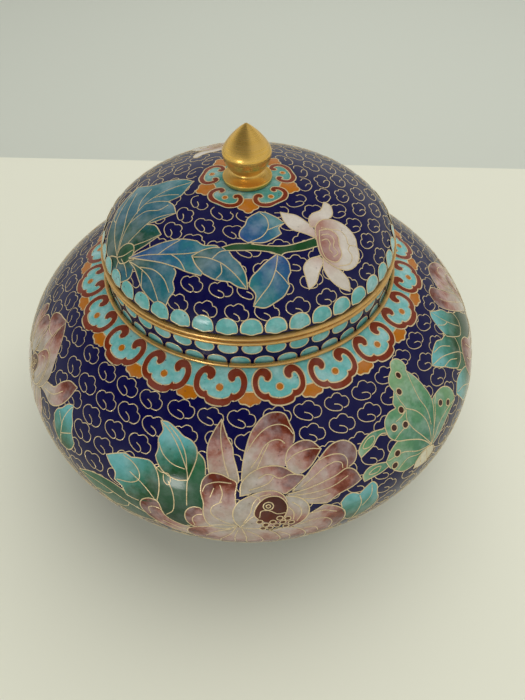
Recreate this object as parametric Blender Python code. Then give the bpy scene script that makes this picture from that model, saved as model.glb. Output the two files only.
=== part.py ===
"""Squat cloisonne ginger jar with a lift-off domed lid and a turned brass bud finial.

Metres, +Z up, origin on the table at the centre of the foot. Every piece is turned about Z.
"""

import math

import bmesh
import bpy
from mathutils import Vector

# Body of enamelled copper
BELLY_RADIUS = 0.0825
BELLY_LINE = 0.0440
SHOULDER_RISE = 0.0408
SHOULDER_FULLNESS = 2.2
UNDERSIDE_DROP = 0.0480
UNDERSIDE_FULLNESS = 2.05
BODY_WALL = 0.0020

# Neck that carries the lid
NECK_MOUTH_RADIUS = 0.0468
NECK_FLARE = 0.0004
NECK_HEIGHT = 0.0077

# Gilt foot under the base
FOOT_HEIGHT = 0.0050
FOOT_WALL = 0.0024
FOOT_SET_IN = 0.0006
FOOT_TAPER = 0.0008

# Gilt rims where lid and neck meet
RIM_HEIGHT = 0.0015
RIM_STAND_OUT = 0.0009
RIM_LIP = 0.0002

# Collar of the lid's rim, which drops into the neck
COLLAR_WALL = 0.0010
COLLAR_CLEARANCE = 0.0005
COLLAR_REACH = 0.0045

# Gilt wire in the corner between shoulder and neck, bent round to an open butt joint
WIRE_RADIUS = 0.0007
WIRE_JOINT_GAP = 0.0003
WIRE_JOINT_AZIMUTH = math.radians(-98)

# Lid of enamelled copper, with a flat seat on top
LID_SET_IN = 0.0002
LID_RISE = 0.0188
LID_FULLNESS = 1.9
LID_WALL = 0.0018
LID_SEAT_RADIUS = 0.0078

# Turned brass bud finial
FLANGE_RADIUS = 0.0074
FLANGE_HEIGHT = 0.0014
FLANGE_LIP = 0.0006
FLANGE_UNDERCUT = 0.0003
COVE_RISE = 0.0013
WAIST_RADIUS = 0.0040
BUD_RADIUS = 0.0072
BUD_ROUND = 0.0074
BUD_POINT_RISE = 0.0081
BUD_POINT_SWELL = 1.335
BUD_POINT_SHARPNESS = 0.871

# Pieces that touch are modelled this far apart
SEAT_GAP = 0.0003

# Fineness of the turned shapes
TURN_STEPS = 48
FINIAL_STEPS = 32
BODY_CURVE_STEPS = 9
WALL_CURVE_STEPS = 7
LID_CURVE_STEPS = 8
BEAD_STEPS = 4
WIRE_SIDES = 8
COVE_STEPS = 4
BUD_ROUND_STEPS = 6
BUD_POINT_STEPS = 8


def radius_at(radius, rise, fullness, climb):
    """Radius of a swelling curve at this climb from its widest line."""
    return radius * (1 - (abs(climb) / rise) ** fullness) ** (1 / fullness)


def climb_at(radius, rise, fullness, wanted):
    """Climb at which a swelling curve has narrowed to the wanted radius."""
    return rise * (1 - (wanted / radius) ** fullness) ** (1 / fullness)


def swell(radius, rise, fullness, first_climb, last_climb, steps):
    """Points of a swelling curve about height 0, evenly turned from one climb to another."""

    def turn_of(climb):
        share = min(1.0, abs(climb) / rise) ** (fullness / 2)
        return math.copysign(math.asin(share), climb)

    first, last = turn_of(first_climb), turn_of(last_climb)
    points = []
    for step in range(steps + 1):
        turn = first + (last - first) * step / steps
        climb = math.copysign(rise * abs(math.sin(turn)) ** (2 / fullness), turn)
        points.append((radius * math.cos(turn) ** (2 / fullness), climb))
    return points


# Levels and radii that follow from the sizes above
BASE_LEVEL = FOOT_HEIGHT + SEAT_GAP
BASE_CLIMB = BASE_LEVEL - BELLY_LINE
NECK_FOOT_RADIUS = NECK_MOUTH_RADIUS + NECK_FLARE
SHOULDER_CLIMB = climb_at(BELLY_RADIUS, SHOULDER_RISE, SHOULDER_FULLNESS, NECK_FOOT_RADIUS)
NECK_TOP = BELLY_LINE + SHOULDER_CLIMB + NECK_HEIGHT
NECK_BORE_RADIUS = NECK_MOUTH_RADIUS - BODY_WALL
MOUTH_RIM_LEVEL = NECK_TOP + SEAT_GAP
LID_RIM_LEVEL = MOUTH_RIM_LEVEL + RIM_HEIGHT + SEAT_GAP
LID_LEVEL = LID_RIM_LEVEL + RIM_HEIGHT + SEAT_GAP
RIM_RADIUS = NECK_MOUTH_RADIUS + RIM_STAND_OUT
MOUTH_RIM_BORE_RADIUS = NECK_BORE_RADIUS - RIM_LIP
COLLAR_RADIUS = MOUTH_RIM_BORE_RADIUS - COLLAR_CLEARANCE
LID_RADIUS = NECK_MOUTH_RADIUS - LID_SET_IN
LID_SEAT_CLIMB = climb_at(LID_RADIUS, LID_RISE, LID_FULLNESS, LID_SEAT_RADIUS)
LID_TOP = LID_LEVEL + LID_SEAT_CLIMB


def clear_scene():
    for thing in list(bpy.data.objects):
        bpy.data.objects.remove(thing)


def lifted(points, height):
    return [(radius, level + height) for radius, level in points]


def turned(name, outline, steps, material, start=0.0, sweep=math.tau):
    """A solid turned about Z from a closed outline of (radius, height) points."""
    whole = sweep >= math.tau
    form = bmesh.new()
    corners = [
        form.verts.new(Vector((radius * math.cos(start), radius * math.sin(start), height)))
        for radius, height in outline
    ]
    sides = [form.edges.new(pair) for pair in zip(corners, corners[1:])]
    stands_on_axis = outline[0][0] == 0 and outline[-1][0] == 0
    if not stands_on_axis:
        sides.append(form.edges.new((corners[-1], corners[0])))
    end_face = [] if whole else [form.faces.new(corners)]
    bmesh.ops.spin(
        form,
        geom=corners + sides + end_face,
        cent=(0, 0, 0),
        axis=(0, 0, 1),
        angle=sweep,
        steps=steps,
        use_merge=whole,
        use_duplicate=False,
    )
    bmesh.ops.remove_doubles(form, verts=form.verts, dist=1e-7)
    bmesh.ops.recalc_face_normals(form, faces=form.faces)
    mesh = bpy.data.meshes.new(name)
    form.to_mesh(mesh)
    form.free()
    mesh.shade_smooth()
    mesh.set_sharp_from_angle(angle=math.radians(40))
    mesh.materials.append(material)
    piece = bpy.data.objects.new(name, mesh)
    bpy.context.scene.collection.objects.link(piece)


def finish(name, colour, roughness, metallic):
    material = bpy.data.materials.new(name)
    material.use_nodes = True
    shader = material.node_tree.nodes["Principled BSDF"]
    shader.inputs["Base Color"].default_value = (*colour, 1)
    shader.inputs["Roughness"].default_value = roughness
    shader.inputs["Metallic"].default_value = metallic
    return material


def enamel(name):
    return finish(name, (0.018, 0.014, 0.16), 0.18, 0.0)


def gilt(name):
    return finish(name, (0.83, 0.56, 0.22), 0.28, 1.0)


def rounded_edge(radius, level, height):
    """Outer side of a rim, from its lower to its upper edge, as a half round."""
    depth = height / 2
    points = []
    for step in range(BEAD_STEPS + 1):
        turn = math.pi * (step / BEAD_STEPS - 0.5)
        points.append((radius - depth + depth * math.cos(turn), level + depth + depth * math.sin(turn)))
    return points


def jar_body():
    """Bowl, shoulder and neck raised in one, hollow, on a flat base."""
    underside = swell(BELLY_RADIUS, UNDERSIDE_DROP, UNDERSIDE_FULLNESS, BASE_CLIMB, 0, BODY_CURVE_STEPS)
    shoulder = swell(BELLY_RADIUS, SHOULDER_RISE, SHOULDER_FULLNESS, 0, SHOULDER_CLIMB, BODY_CURVE_STEPS)
    bowl_radius = BELLY_RADIUS - BODY_WALL
    bowl_drop = UNDERSIDE_DROP - BODY_WALL
    bowl_rise = SHOULDER_RISE - BODY_WALL
    throat_climb = climb_at(bowl_radius, bowl_rise, SHOULDER_FULLNESS, NECK_BORE_RADIUS)
    vault = swell(bowl_radius, bowl_rise, SHOULDER_FULLNESS, throat_climb, 0, WALL_CURVE_STEPS)
    bowl = swell(bowl_radius, bowl_drop, UNDERSIDE_FULLNESS, 0, BASE_CLIMB + BODY_WALL, WALL_CURVE_STEPS)
    outline = [
        (0, BASE_LEVEL),
        *lifted(underside + shoulder[1:], BELLY_LINE),
        (NECK_MOUTH_RADIUS, NECK_TOP),
        (NECK_BORE_RADIUS, NECK_TOP),
        *lifted(vault + bowl[1:], BELLY_LINE),
        (0, BASE_LEVEL + BODY_WALL),
    ]
    turned("jar_body", outline, TURN_STEPS, enamel("jar_body_enamel"))


def foot_rim():
    """Slightly tapered ring under the edge of the base."""
    seat_radius = radius_at(BELLY_RADIUS, UNDERSIDE_DROP, UNDERSIDE_FULLNESS, BASE_CLIMB)
    top_radius = seat_radius - FOOT_SET_IN
    foot_radius = top_radius - FOOT_TAPER
    outline = [
        (foot_radius - FOOT_WALL, 0),
        (foot_radius, 0),
        (top_radius, FOOT_HEIGHT),
        (top_radius - FOOT_WALL, FOOT_HEIGHT),
    ]
    turned("foot_rim", outline, TURN_STEPS, gilt("foot_rim_gilt"))


def shoulder_wire():
    """Round wire that lies on the shoulder and against the neck, a seat gap from both."""
    centre_radius = NECK_FOOT_RADIUS + WIRE_RADIUS + SEAT_GAP

    def shoulder_climb(radius):
        return climb_at(BELLY_RADIUS, SHOULDER_RISE, SHOULDER_FULLNESS, radius)

    fall = shoulder_climb(centre_radius - WIRE_RADIUS) - shoulder_climb(centre_radius + WIRE_RADIUS)
    slope = math.atan2(fall, 2 * WIRE_RADIUS)
    stand_off = (WIRE_RADIUS + SEAT_GAP) / math.cos(slope)
    centre_level = BELLY_LINE + shoulder_climb(centre_radius) + stand_off
    section = []
    for side in range(WIRE_SIDES):
        turn = math.tau * side / WIRE_SIDES
        out = centre_radius + WIRE_RADIUS * math.cos(turn)
        section.append((out, centre_level + WIRE_RADIUS * math.sin(turn)))
    joint_angle = WIRE_JOINT_GAP / centre_radius
    turned(
        "shoulder_wire",
        section,
        TURN_STEPS,
        gilt("shoulder_wire_gilt"),
        start=WIRE_JOINT_AZIMUTH + joint_angle / 2,
        sweep=math.tau - joint_angle,
    )


def mouth_rim():
    """Ring on top of the neck, round outside."""
    outline = [
        (MOUTH_RIM_BORE_RADIUS, MOUTH_RIM_LEVEL),
        *rounded_edge(RIM_RADIUS, MOUTH_RIM_LEVEL, RIM_HEIGHT),
        (MOUTH_RIM_BORE_RADIUS, MOUTH_RIM_LEVEL + RIM_HEIGHT),
    ]
    turned("mouth_rim", outline, TURN_STEPS, gilt("mouth_rim_gilt"))


def lid_rim():
    """Ring under the lid with a collar inside that drops into the neck."""
    bore = COLLAR_RADIUS - COLLAR_WALL
    collar_foot = LID_RIM_LEVEL - COLLAR_REACH
    outline = [
        (bore, collar_foot),
        (COLLAR_RADIUS, collar_foot),
        (COLLAR_RADIUS, LID_RIM_LEVEL),
        *rounded_edge(RIM_RADIUS, LID_RIM_LEVEL, RIM_HEIGHT),
        (bore, LID_RIM_LEVEL + RIM_HEIGHT),
    ]
    turned("lid_rim", outline, TURN_STEPS, gilt("lid_rim_gilt"))


def lid_dome():
    """Shallow domed shell."""
    dome = swell(LID_RADIUS, LID_RISE, LID_FULLNESS, LID_SEAT_CLIMB, 0, LID_CURVE_STEPS)
    hollow_rise = LID_SEAT_CLIMB - LID_WALL
    hollow = swell(LID_RADIUS - LID_WALL, hollow_rise, LID_FULLNESS, 0, hollow_rise, LID_CURVE_STEPS)
    outline = [
        (0, LID_TOP),
        *lifted(dome, LID_LEVEL),
        *lifted(hollow[:-1], LID_LEVEL),
        (0, LID_LEVEL + hollow_rise),
    ]
    turned("lid_dome", outline, TURN_STEPS, enamel("lid_dome_enamel"))


def finial():
    """Flange with a lip, hollow cove, narrow waist and pointed bud, turned in one."""
    floor = LID_TOP + SEAT_GAP
    cove_foot = floor + FLANGE_HEIGHT
    waist = cove_foot + COVE_RISE
    outline = [
        (0, floor),
        (FLANGE_RADIUS - FLANGE_UNDERCUT, floor),
        (FLANGE_RADIUS, cove_foot - FLANGE_UNDERCUT),
        (FLANGE_RADIUS - FLANGE_UNDERCUT, cove_foot),
    ]
    cove_radius = FLANGE_RADIUS - FLANGE_LIP
    for step in range(COVE_STEPS):
        turn = math.pi / 2 * step / COVE_STEPS
        cove_reach = (cove_radius - WAIST_RADIUS) * math.sin(turn)
        outline.append((cove_radius - cove_reach, waist - COVE_RISE * math.cos(turn)))
    waist_turn = math.acos(WAIST_RADIUS / BUD_RADIUS)
    belly = waist + BUD_ROUND * math.sin(waist_turn)
    for step in range(BUD_ROUND_STEPS):
        turn = waist_turn * (1 - step / BUD_ROUND_STEPS)
        outline.append((BUD_RADIUS * math.cos(turn), belly - BUD_ROUND * math.sin(turn)))
    for step in range(BUD_POINT_STEPS):
        share = step / BUD_POINT_STEPS
        narrowing = (1 - share**BUD_POINT_SWELL) ** BUD_POINT_SHARPNESS
        outline.append((BUD_RADIUS * narrowing, belly + BUD_POINT_RISE * share))
    outline.append((0, belly + BUD_POINT_RISE))
    turned("finial", outline, FINIAL_STEPS, finish("finial_brass", (0.80, 0.54, 0.18), 0.33, 1.0))


def main():
    clear_scene()
    jar_body()
    foot_rim()
    shoulder_wire()
    mouth_rim()
    lid_rim()
    lid_dome()
    finial()


main()
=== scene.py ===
"""Looks of the cloisonne ginger jar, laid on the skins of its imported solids.

Patterns are drawn flat on charts of the skins, in millimetres and degrees, and then wrapped on the skins.
A turned chart runs by turn in degrees from the front and by way in millimetres down the outline.
A polar chart is the lid seen from above, in millimetres of way from the middle, front at the bottom.
"""

import math
import random

import bmesh
import bpy
import numpy as np
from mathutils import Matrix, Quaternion, Vector


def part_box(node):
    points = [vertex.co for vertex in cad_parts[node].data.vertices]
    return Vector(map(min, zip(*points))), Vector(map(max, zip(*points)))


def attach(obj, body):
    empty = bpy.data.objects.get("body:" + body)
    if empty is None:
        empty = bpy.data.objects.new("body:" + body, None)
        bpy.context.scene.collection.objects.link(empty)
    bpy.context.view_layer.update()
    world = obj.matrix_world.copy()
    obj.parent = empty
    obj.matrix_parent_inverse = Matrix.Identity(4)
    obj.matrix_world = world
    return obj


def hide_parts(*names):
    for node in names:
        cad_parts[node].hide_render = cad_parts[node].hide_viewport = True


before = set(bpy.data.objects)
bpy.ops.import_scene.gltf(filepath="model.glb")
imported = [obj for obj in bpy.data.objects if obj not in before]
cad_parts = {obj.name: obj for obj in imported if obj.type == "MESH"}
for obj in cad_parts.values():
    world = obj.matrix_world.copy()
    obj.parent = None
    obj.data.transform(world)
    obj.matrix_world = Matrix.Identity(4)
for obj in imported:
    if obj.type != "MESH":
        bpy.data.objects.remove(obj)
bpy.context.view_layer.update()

MM = 0.001


def packed_box(node):
    """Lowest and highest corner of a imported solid, in millimetres."""
    low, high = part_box(node)
    return [value / MM for value in low], [value / MM for value in high]


# Forms of the jar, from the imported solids
BODY_LOW, BODY_HIGH = packed_box("jar_body")
RIM_LOW, RIM_HIGH = packed_box("mouth_rim")
LID_RIM_LOW, LID_RIM_HIGH = packed_box("lid_rim")
LID_LOW, LID_HIGH = packed_box("lid_dome")
FINIAL_LOW, FINIAL_HIGH = packed_box("finial")
FOOT_HIGH = packed_box("foot_rim")[1]
BELLY_RADIUS = BODY_HIGH[0]
BASE_LEVEL = BODY_LOW[2]
NECK_TOP = BODY_HIGH[2]
BELLY_LINE = 44.0
SHOULDER_RISE = 40.8
SHOULDER_FULLNESS = 2.2
UNDERSIDE_DROP = 48.0
UNDERSIDE_FULLNESS = 2.05
BODY_WALL = 2.0
NECK_MOUTH_RADIUS = 46.8
NECK_FOOT_RADIUS = 47.2
WIRE_JOINT_TURN = -8.0
WIRE_JOINT_GAP = 0.3
LID_RADIUS = LID_HIGH[0]
LID_LEVEL = LID_LOW[2]
LID_TOP = LID_HIGH[2]
LID_RISE = 18.8
LID_FULLNESS = 1.9
LID_WALL = 1.8
LID_SEAT_RADIUS = 7.8

# Fineness of the skins and of the drawn lines
SKIN_STEPS = 180
FINIAL_STEPS = 96
OUTLINE_STEPS = 160
LID_OUTLINE_STEPS = 200
LID_SKIN_STEPS = 64
LINING_STEPS = 24
ROW = 2.0
LID_ROW = 1.25
TURN_CELL = 2.0
DRAWN_STEP = 0.7
LOBE_STEP = 0.6
FINE_STEP = 0.5
BAND_STEP = 0.45
SPOT_SIDES = 8

# Wires, and the small steps that keep one enamel above another
WIRE_WIDTH = 0.32
VEIN_WIDTH = WIRE_WIDTH * 0.85
CLOUD_WIDTH = 0.25
BEAD_WIDTH = 0.34
BORDER_WIDTH = 0.4
WIRE_RISE = 0.09
LAYER = 0.03
BEAD_LEVEL = 7
GUSSET_LEVEL = 0.99
MARGIN = 0.5
OVERLAP = 0.12
MIDDLE_TONE = 0.5

# Counts and places of the borders and the cloud rows
BEADS = 44
RUYI_HEADS = 20
RUYI_TURN = 8.0
RUYI_DROP = 12.6
RUYI_LIFT = 1.8
ROSETTE_HEADS = 5
BODY_ROWS = 15
BODY_FIRST_ROW = 15.4
BODY_ROW_PITCH = 6.25
BODY_CLOUD_SPACING = 9.0
UNDERSIDE_WAY = 54
LID_ROWS = 6
LID_FIRST_ROW = 17.2
LID_ROW_PITCH = 5.9
LID_CLOUD_SPACING = 8.3
PICTURE_STRETCH = 1.3

# Mark of a chart point where a line turns sharply, and the least lean that says which way a face looks
TIP = "tip"
SIDEWAYS = 0.1


def climb_at(radius, rise, fullness, wanted):
    """Climb at which a swelling curve has narrowed to the wanted radius."""
    return rise * (1 - (wanted / radius) ** fullness) ** (1 / fullness)


def swell(radius, rise, fullness, first_climb, last_climb, steps):
    """Points of a swelling curve about height 0, evenly turned from one climb to another."""

    def turn_of(climb):
        share = min(1.0, abs(climb) / rise) ** (fullness / 2)
        return math.copysign(math.asin(share), climb)

    first, last = turn_of(first_climb), turn_of(last_climb)
    points = []
    for step in range(steps + 1):
        turn = first + (last - first) * step / steps
        climb = math.copysign(rise * abs(math.sin(turn)) ** (2 / fullness), turn)
        points.append((radius * math.cos(turn) ** (2 / fullness), climb))
    return points


def lifted(points, height):
    """Outline points raised to a height."""
    return [(radius, level + height) for radius, level in points]


def evenly(outline, spacing):
    """The same outline with points a set way apart, as (radius, height)."""
    line = np.array(outline)
    way = np.concatenate(([0.0], np.cumsum(np.hypot(*np.diff(line, axis=0).T))))
    count = max(2, int(round(way[-1] / spacing)) + 1)
    even = np.linspace(0, way[-1], count)
    return [(np.interp(at, way, line[:, 0]), np.interp(at, way, line[:, 1])) for at in even]


class Skin:
    """A turned surface that a flat drawing can be wrapped on."""

    def __init__(self, outline, polar, cell):
        line = np.array(outline)
        self.way = np.concatenate(([0.0], np.cumsum(np.hypot(*np.diff(line, axis=0).T))))
        self.radius = line[:, 0]
        self.height = line[:, 1]
        along = np.gradient(line, self.way, axis=0)
        along /= np.linalg.norm(along, axis=1)[:, None]
        self.out_radius = -along[:, 1]
        self.out_height = along[:, 0]
        self.polar = polar
        self.cell = cell

    def radius_at(self, way):
        return np.interp(way, self.way, self.radius)

    def stretch(self, way):
        """Millimetres on the skin for one unit of the chart's first axis."""
        if self.polar:
            return np.ones_like(np.asarray(way, float))
        return self.radius_at(way) * math.pi / 180

    def wrap(self, flat):
        """Places in metres, and the directions out, of chart points with their lift."""
        if self.polar:
            turn = np.arctan2(flat[:, 0], -flat[:, 1])
            way = np.hypot(flat[:, 0], flat[:, 1])
        else:
            turn = np.radians(flat[:, 0])
            way = flat[:, 1]
        out_radius = np.interp(way, self.way, self.out_radius)
        out_height = np.interp(way, self.way, self.out_height)
        radius = self.radius_at(way) + flat[:, 2] * out_radius
        height = np.interp(way, self.way, self.height) + flat[:, 2] * out_height
        right, back = np.sin(turn), -np.cos(turn)
        place = np.stack((radius * right, radius * back, height), axis=1) * MM
        out = np.stack((out_radius * right, out_radius * back, out_height), axis=1)
        return place, out


SHOULDER_CLIMB = climb_at(BELLY_RADIUS, SHOULDER_RISE, SHOULDER_FULLNESS, NECK_FOOT_RADIUS)
NECK_FOOT = BELLY_LINE + SHOULDER_CLIMB
SHOULDER_CURVE = swell(BELLY_RADIUS, SHOULDER_RISE, SHOULDER_FULLNESS, SHOULDER_CLIMB, 0, OUTLINE_STEPS)
UNDERSIDE_CURVE = swell(
    BELLY_RADIUS, UNDERSIDE_DROP, UNDERSIDE_FULLNESS, 0, BASE_LEVEL - BELLY_LINE, OUTLINE_STEPS
)
BOWL_OUTLINE = lifted(SHOULDER_CURVE + UNDERSIDE_CURVE[1:], BELLY_LINE)
NECK_OUTLINE = [(NECK_MOUTH_RADIUS, NECK_TOP), (NECK_FOOT_RADIUS, NECK_FOOT)]
LID_SEAT_CLIMB = climb_at(LID_RADIUS, LID_RISE, LID_FULLNESS, LID_SEAT_RADIUS)
LID_CURVE = lifted(swell(LID_RADIUS, LID_RISE, LID_FULLNESS, LID_SEAT_CLIMB, 0, LID_OUTLINE_STEPS), LID_LEVEL)
LID_OUTLINE = [(0.0, LID_TOP)] + LID_CURVE

bowl = Skin(BOWL_OUTLINE, False, (TURN_CELL, ROW))
neck = Skin(evenly(NECK_OUTLINE, 1.0), False, (TURN_CELL, ROW))
lid = Skin(LID_OUTLINE, True, (LID_ROW, LID_ROW))
lid_edge = Skin(LID_OUTLINE, False, (TURN_CELL, 0.6))
BOWL_WAY = bowl.way[-1]
LID_WAY = lid.way[-1]


# Lines and outlines on a chart


def hermite(first, second, third, fourth, count):
    """Points from the second to just before the fourth's neighbour, on a curve without loops."""
    knots = [0.0]
    for start, end in ((first, second), (second, third), (third, fourth)):
        knots.append(knots[-1] + max(1e-6, math.sqrt((end - start).length)))
    span = knots[2] - knots[1]

    def slope(before, at, after, low, middle, high):
        return (
            (at - before) / (middle - low) - (after - before) / (high - low) + (after - at) / (high - middle)
        ) * span

    leave = slope(first, second, third, *knots[:3])
    arrive = slope(second, third, fourth, *knots[1:])
    points = []
    for step in range(count):
        t = step / count
        points.append(
            (2 * t**3 - 3 * t**2 + 1) * second
            + (t**3 - 2 * t**2 + t) * leave
            + (3 * t**2 - 2 * t**3) * third
            + (t**3 - t**2) * arrive
        )
    return points


def stroke(points, closed, step):
    """One smooth line through all the points."""
    count = len(points)
    line = []
    for index in range(count if closed else count - 1):
        if closed:
            near = [points[(index + shift) % count] for shift in (-1, 0, 1, 2)]
        else:
            second, third = points[index], points[index + 1]
            first = points[index - 1] if index else second - (third - second)
            fourth = points[index + 2] if index + 2 < count else third + (third - second)
            near = [first, second, third, fourth]
        pieces = max(1, math.ceil((near[2] - near[1]).length / step))
        line.extend(hermite(*near, pieces))
    if not closed:
        line.append(points[-1])
    return line


def drawn(points, closed=False, step=DRAWN_STEP, stretch=1.0):
    """A line through chart points, smooth except at points marked as tips, which stay sharp."""
    places = [Vector((point[0] * stretch, point[1])) for point in points]
    tips = [index for index, point in enumerate(points) if len(point) > 2]
    if closed and tips:
        first = tips[0]
        places = places[first:] + places[: first + 1]
        tips = [index - first for index in tips] + [len(places) - 1]
    elif not closed:
        tips = sorted({0, len(places) - 1, *tips})
    if closed and not tips:
        line = stroke(places, True, step)
    else:
        line = []
        for start, end in zip(tips, tips[1:]):
            line.extend(stroke(places[start : end + 1], False, step)[:-1])
        if not closed:
            line.append(places[-1])
    return [(place.x / stretch, place.y) for place in line]


def mirrored(points, middle=0.0):
    """The same points on the other side of a line, in turned order."""
    return [(2 * middle - point[0], *point[1:]) for point in reversed(points)]


def moved(points, right, down):
    """Chart points shifted, with their marks kept."""
    return [(point[0] + right, point[1] + down, *point[2:]) for point in points]


def turned_about(points, degrees):
    """Polar chart points turned about the middle of the lid."""
    cos, sin = math.cos(math.radians(degrees)), math.sin(math.radians(degrees))
    return [(p[0] * cos - p[1] * sin, p[0] * sin + p[1] * cos, *p[2:]) for p in points]


def seen_from_above(turn, way):
    """The polar chart point of a place on the lid given by turn and way."""
    return way * math.sin(math.radians(turn)), -way * math.cos(math.radians(turn))


def round_outline(centre, radius, stretch=1.0, count=16):
    turns = [math.tau * step / count for step in range(count)]
    return [(centre[0] + radius * math.cos(t) / stretch, centre[1] + radius * math.sin(t)) for t in turns]


def are_inside(points, outline):
    """Which of the points lie inside a closed outline."""
    x, y = points[:, 0], points[:, 1]
    found = np.zeros(len(points), bool)
    low, high = outline.min(axis=0), outline.max(axis=0)
    near = (x > low[0]) & (x < high[0]) & (y > low[1]) & (y < high[1])
    if not near.any():
        return found
    x, y = x[near], y[near]
    hit = np.zeros(len(x), bool)
    for (x1, y1), (x2, y2) in zip(outline, np.roll(outline, -1, axis=0)):
        if y1 == y2:
            continue
        crosses = (y1 > y) != (y2 > y)
        hit ^= crosses & (x < (x2 - x1) * (y - y1) / (y2 - y1) + x1)
    found[near] = hit
    return found


def crossing(outer, inner, outlines):
    """The place between two points where a line goes under the outlines."""
    outer, inner = np.array(outer), np.array(inner)
    for _ in range(6):
        middle = (outer + inner) / 2
        if any(are_inside(middle[None], outline)[0] for outline in outlines):
            inner = middle
        else:
            outer = middle
    return tuple(outer)


def runs_outside(line, outlines, least=3, margin=0.0, stretch=1.0):
    """The stretches of a line that no outline covers, or comes within a margin of."""
    points = np.array(line)
    low, high = points.min(axis=0) - 1, points.max(axis=0) + 1
    outlines = [o for o in outlines if (o.max(axis=0) > low).all() and (o.min(axis=0) < high).all()]
    hidden = np.zeros(len(points), bool)
    real = np.array((stretch, 1.0))
    for outline in outlines:
        hidden |= are_inside(points, outline)
        if margin:
            gaps = np.linalg.norm((points[:, None] - outline[None]) * real, axis=2)
            hidden |= gaps.min(axis=1) < margin
    runs, run = [], []
    for index, point in enumerate(line):
        if hidden[index]:
            if run:
                run.append(point if margin else crossing(line[index - 1], point, outlines))
            if len(run) >= least:
                runs.append(run)
            run = []
        else:
            if not run and index:
                before = line[index - 1]
                run.append(before if margin else crossing(point, before, outlines))
            run.append(point)
    if len(run) >= least:
        runs.append(run)
    return runs


# Flat drawings that become pieces


class Drawing:
    """Enamel fields of one finish, or wires, gathered flat and then wrapped on their skin."""

    def __init__(self, skin):
        self.skin = skin
        self.form = bmesh.new()
        self.tone = self.form.verts.layers.float.new("tone")
        self.levels = {0}
        self.outlines = []

    def cut_cells(self, flat, low, high):
        """Cuts a flat field along the skin's grid, so that it follows the round form."""
        for axis in (0, 1):
            cell = self.skin.cell[axis]
            normal = (1, 0, 0) if axis == 0 else (0, 1, 0)
            for index in range(math.ceil(low[axis] / cell), math.floor(high[axis] / cell) + 1):
                place = (index * cell, 0, 0) if axis == 0 else (0, index * cell, 0)
                geometry = flat.verts[:] + flat.edges[:] + flat.faces[:]
                bmesh.ops.bisect_plane(flat, geom=geometry, dist=1e-5, plane_co=place, plane_no=normal)

    def fill(self, outline, level, root=None, tip=None):
        """A field of enamel inside an outline, with its tone running from root to tip."""
        flat = bmesh.new()
        corners = [flat.verts.new((x, y, 0)) for x, y in outline]
        for start, end in zip(corners, corners[1:] + corners[:1]):
            flat.edges.new((start, end))
        bmesh.ops.triangle_fill(flat, edges=flat.edges[:], use_beauty=True, normal=(0, 0, 1))
        points = np.array(outline)
        self.cut_cells(flat, points.min(axis=0), points.max(axis=0))
        layer = flat.verts.layers.float.new("tone")
        stretch = float(self.skin.stretch(points[:, 1].mean()))
        for vert in flat.verts:
            vert[layer] = MIDDLE_TONE
            if root is not None:
                reach = Vector(((tip[0] - root[0]) * stretch, tip[1] - root[1]))
                offset = Vector(((vert.co.x - root[0]) * stretch, vert.co.y - root[1]))
                vert[layer] = offset.dot(reach) / reach.length_squared
            vert.co.z = level * LAYER
        for face in flat.faces:
            face.normal_update()
            if face.normal.z < 0:
                face.normal_flip()
        scratch = bpy.data.meshes.new("scratch")
        flat.to_mesh(scratch)
        flat.free()
        self.form.from_mesh(scratch)
        bpy.data.meshes.remove(scratch)
        self.levels.add(level)
        self.outlines.append(points)

    def wire(self, line, level, closed=False, width=WIRE_WIDTH):
        """A ridge of wire along a line, with its edges sunk in the enamel."""
        if closed:
            line = list(line) + [line[0]]
        points = np.array(line, float)
        stretch = self.skin.stretch(points[:, 1])
        real = np.stack((points[:, 0] * stretch, points[:, 1]), axis=1)
        along = np.gradient(real, axis=0)
        if closed:
            along[0] = along[-1] = along[0] + along[-1]
        along /= np.maximum(np.linalg.norm(along, axis=1), 1e-9)[:, None]
        count = len(points)
        made = bmesh.ops.create_grid(self.form, x_segments=count - 1, y_segments=2, size=1.0)["verts"]
        base = (level + 0.5) * LAYER
        for row, (side, lift) in enumerate(((-0.5, base), (0.0, base + WIRE_RISE), (0.5, base))):
            for index in range(count):
                across = side * width
                x = points[index, 0] - across * along[index, 1] / stretch[index]
                y = points[index, 1] + across * along[index, 0]
                made[row * count + index].co = (x, y, lift)

    def piece(self, name, material):
        """Wraps the drawing on its skin and makes it a piece of the jar."""
        is_wire = material is CELL_WIRE
        if not self.skin.polar:
            bmesh.ops.reverse_faces(self.form, faces=self.form.faces[:])
        mesh = bpy.data.meshes.new(name)
        self.form.to_mesh(mesh)
        self.form.free()
        flat = np.empty(len(mesh.vertices) * 3)
        mesh.vertices.foreach_get("co", flat)
        flat = flat.reshape(-1, 3)
        place, out = self.skin.wrap(flat)
        low, high = flat.min(axis=0), flat.max(axis=0)
        bands = sorted(self.levels)
        band = np.zeros(len(flat))
        if not is_wire:
            band = np.searchsorted(bands, np.round(flat[:, 2] / LAYER)).clip(0, len(bands) - 1)
        chart = (flat[:, :2] - low[:2]) / (high[:2] - low[:2])
        chart[:, 1] = (chart[:, 1] * 0.98 + band) / (1 if is_wire else len(bands))
        corner = np.empty(len(mesh.loops), int)
        mesh.loops.foreach_get("vertex_index", corner)
        while mesh.uv_layers:
            mesh.uv_layers.remove(mesh.uv_layers[0])
        mesh.uv_layers.new(name="OFBake").data.foreach_set("uv", chart[corner].ravel())
        mesh.vertices.foreach_set("co", place.ravel())
        mesh.update()
        mesh.shade_smooth()
        if not is_wire:
            mesh.normals_split_custom_set_from_vertices(out)
        mesh.materials.append(material)
        placed(name, mesh, "gilt_brass" if is_wire else "cobalt_enamel")


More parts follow.
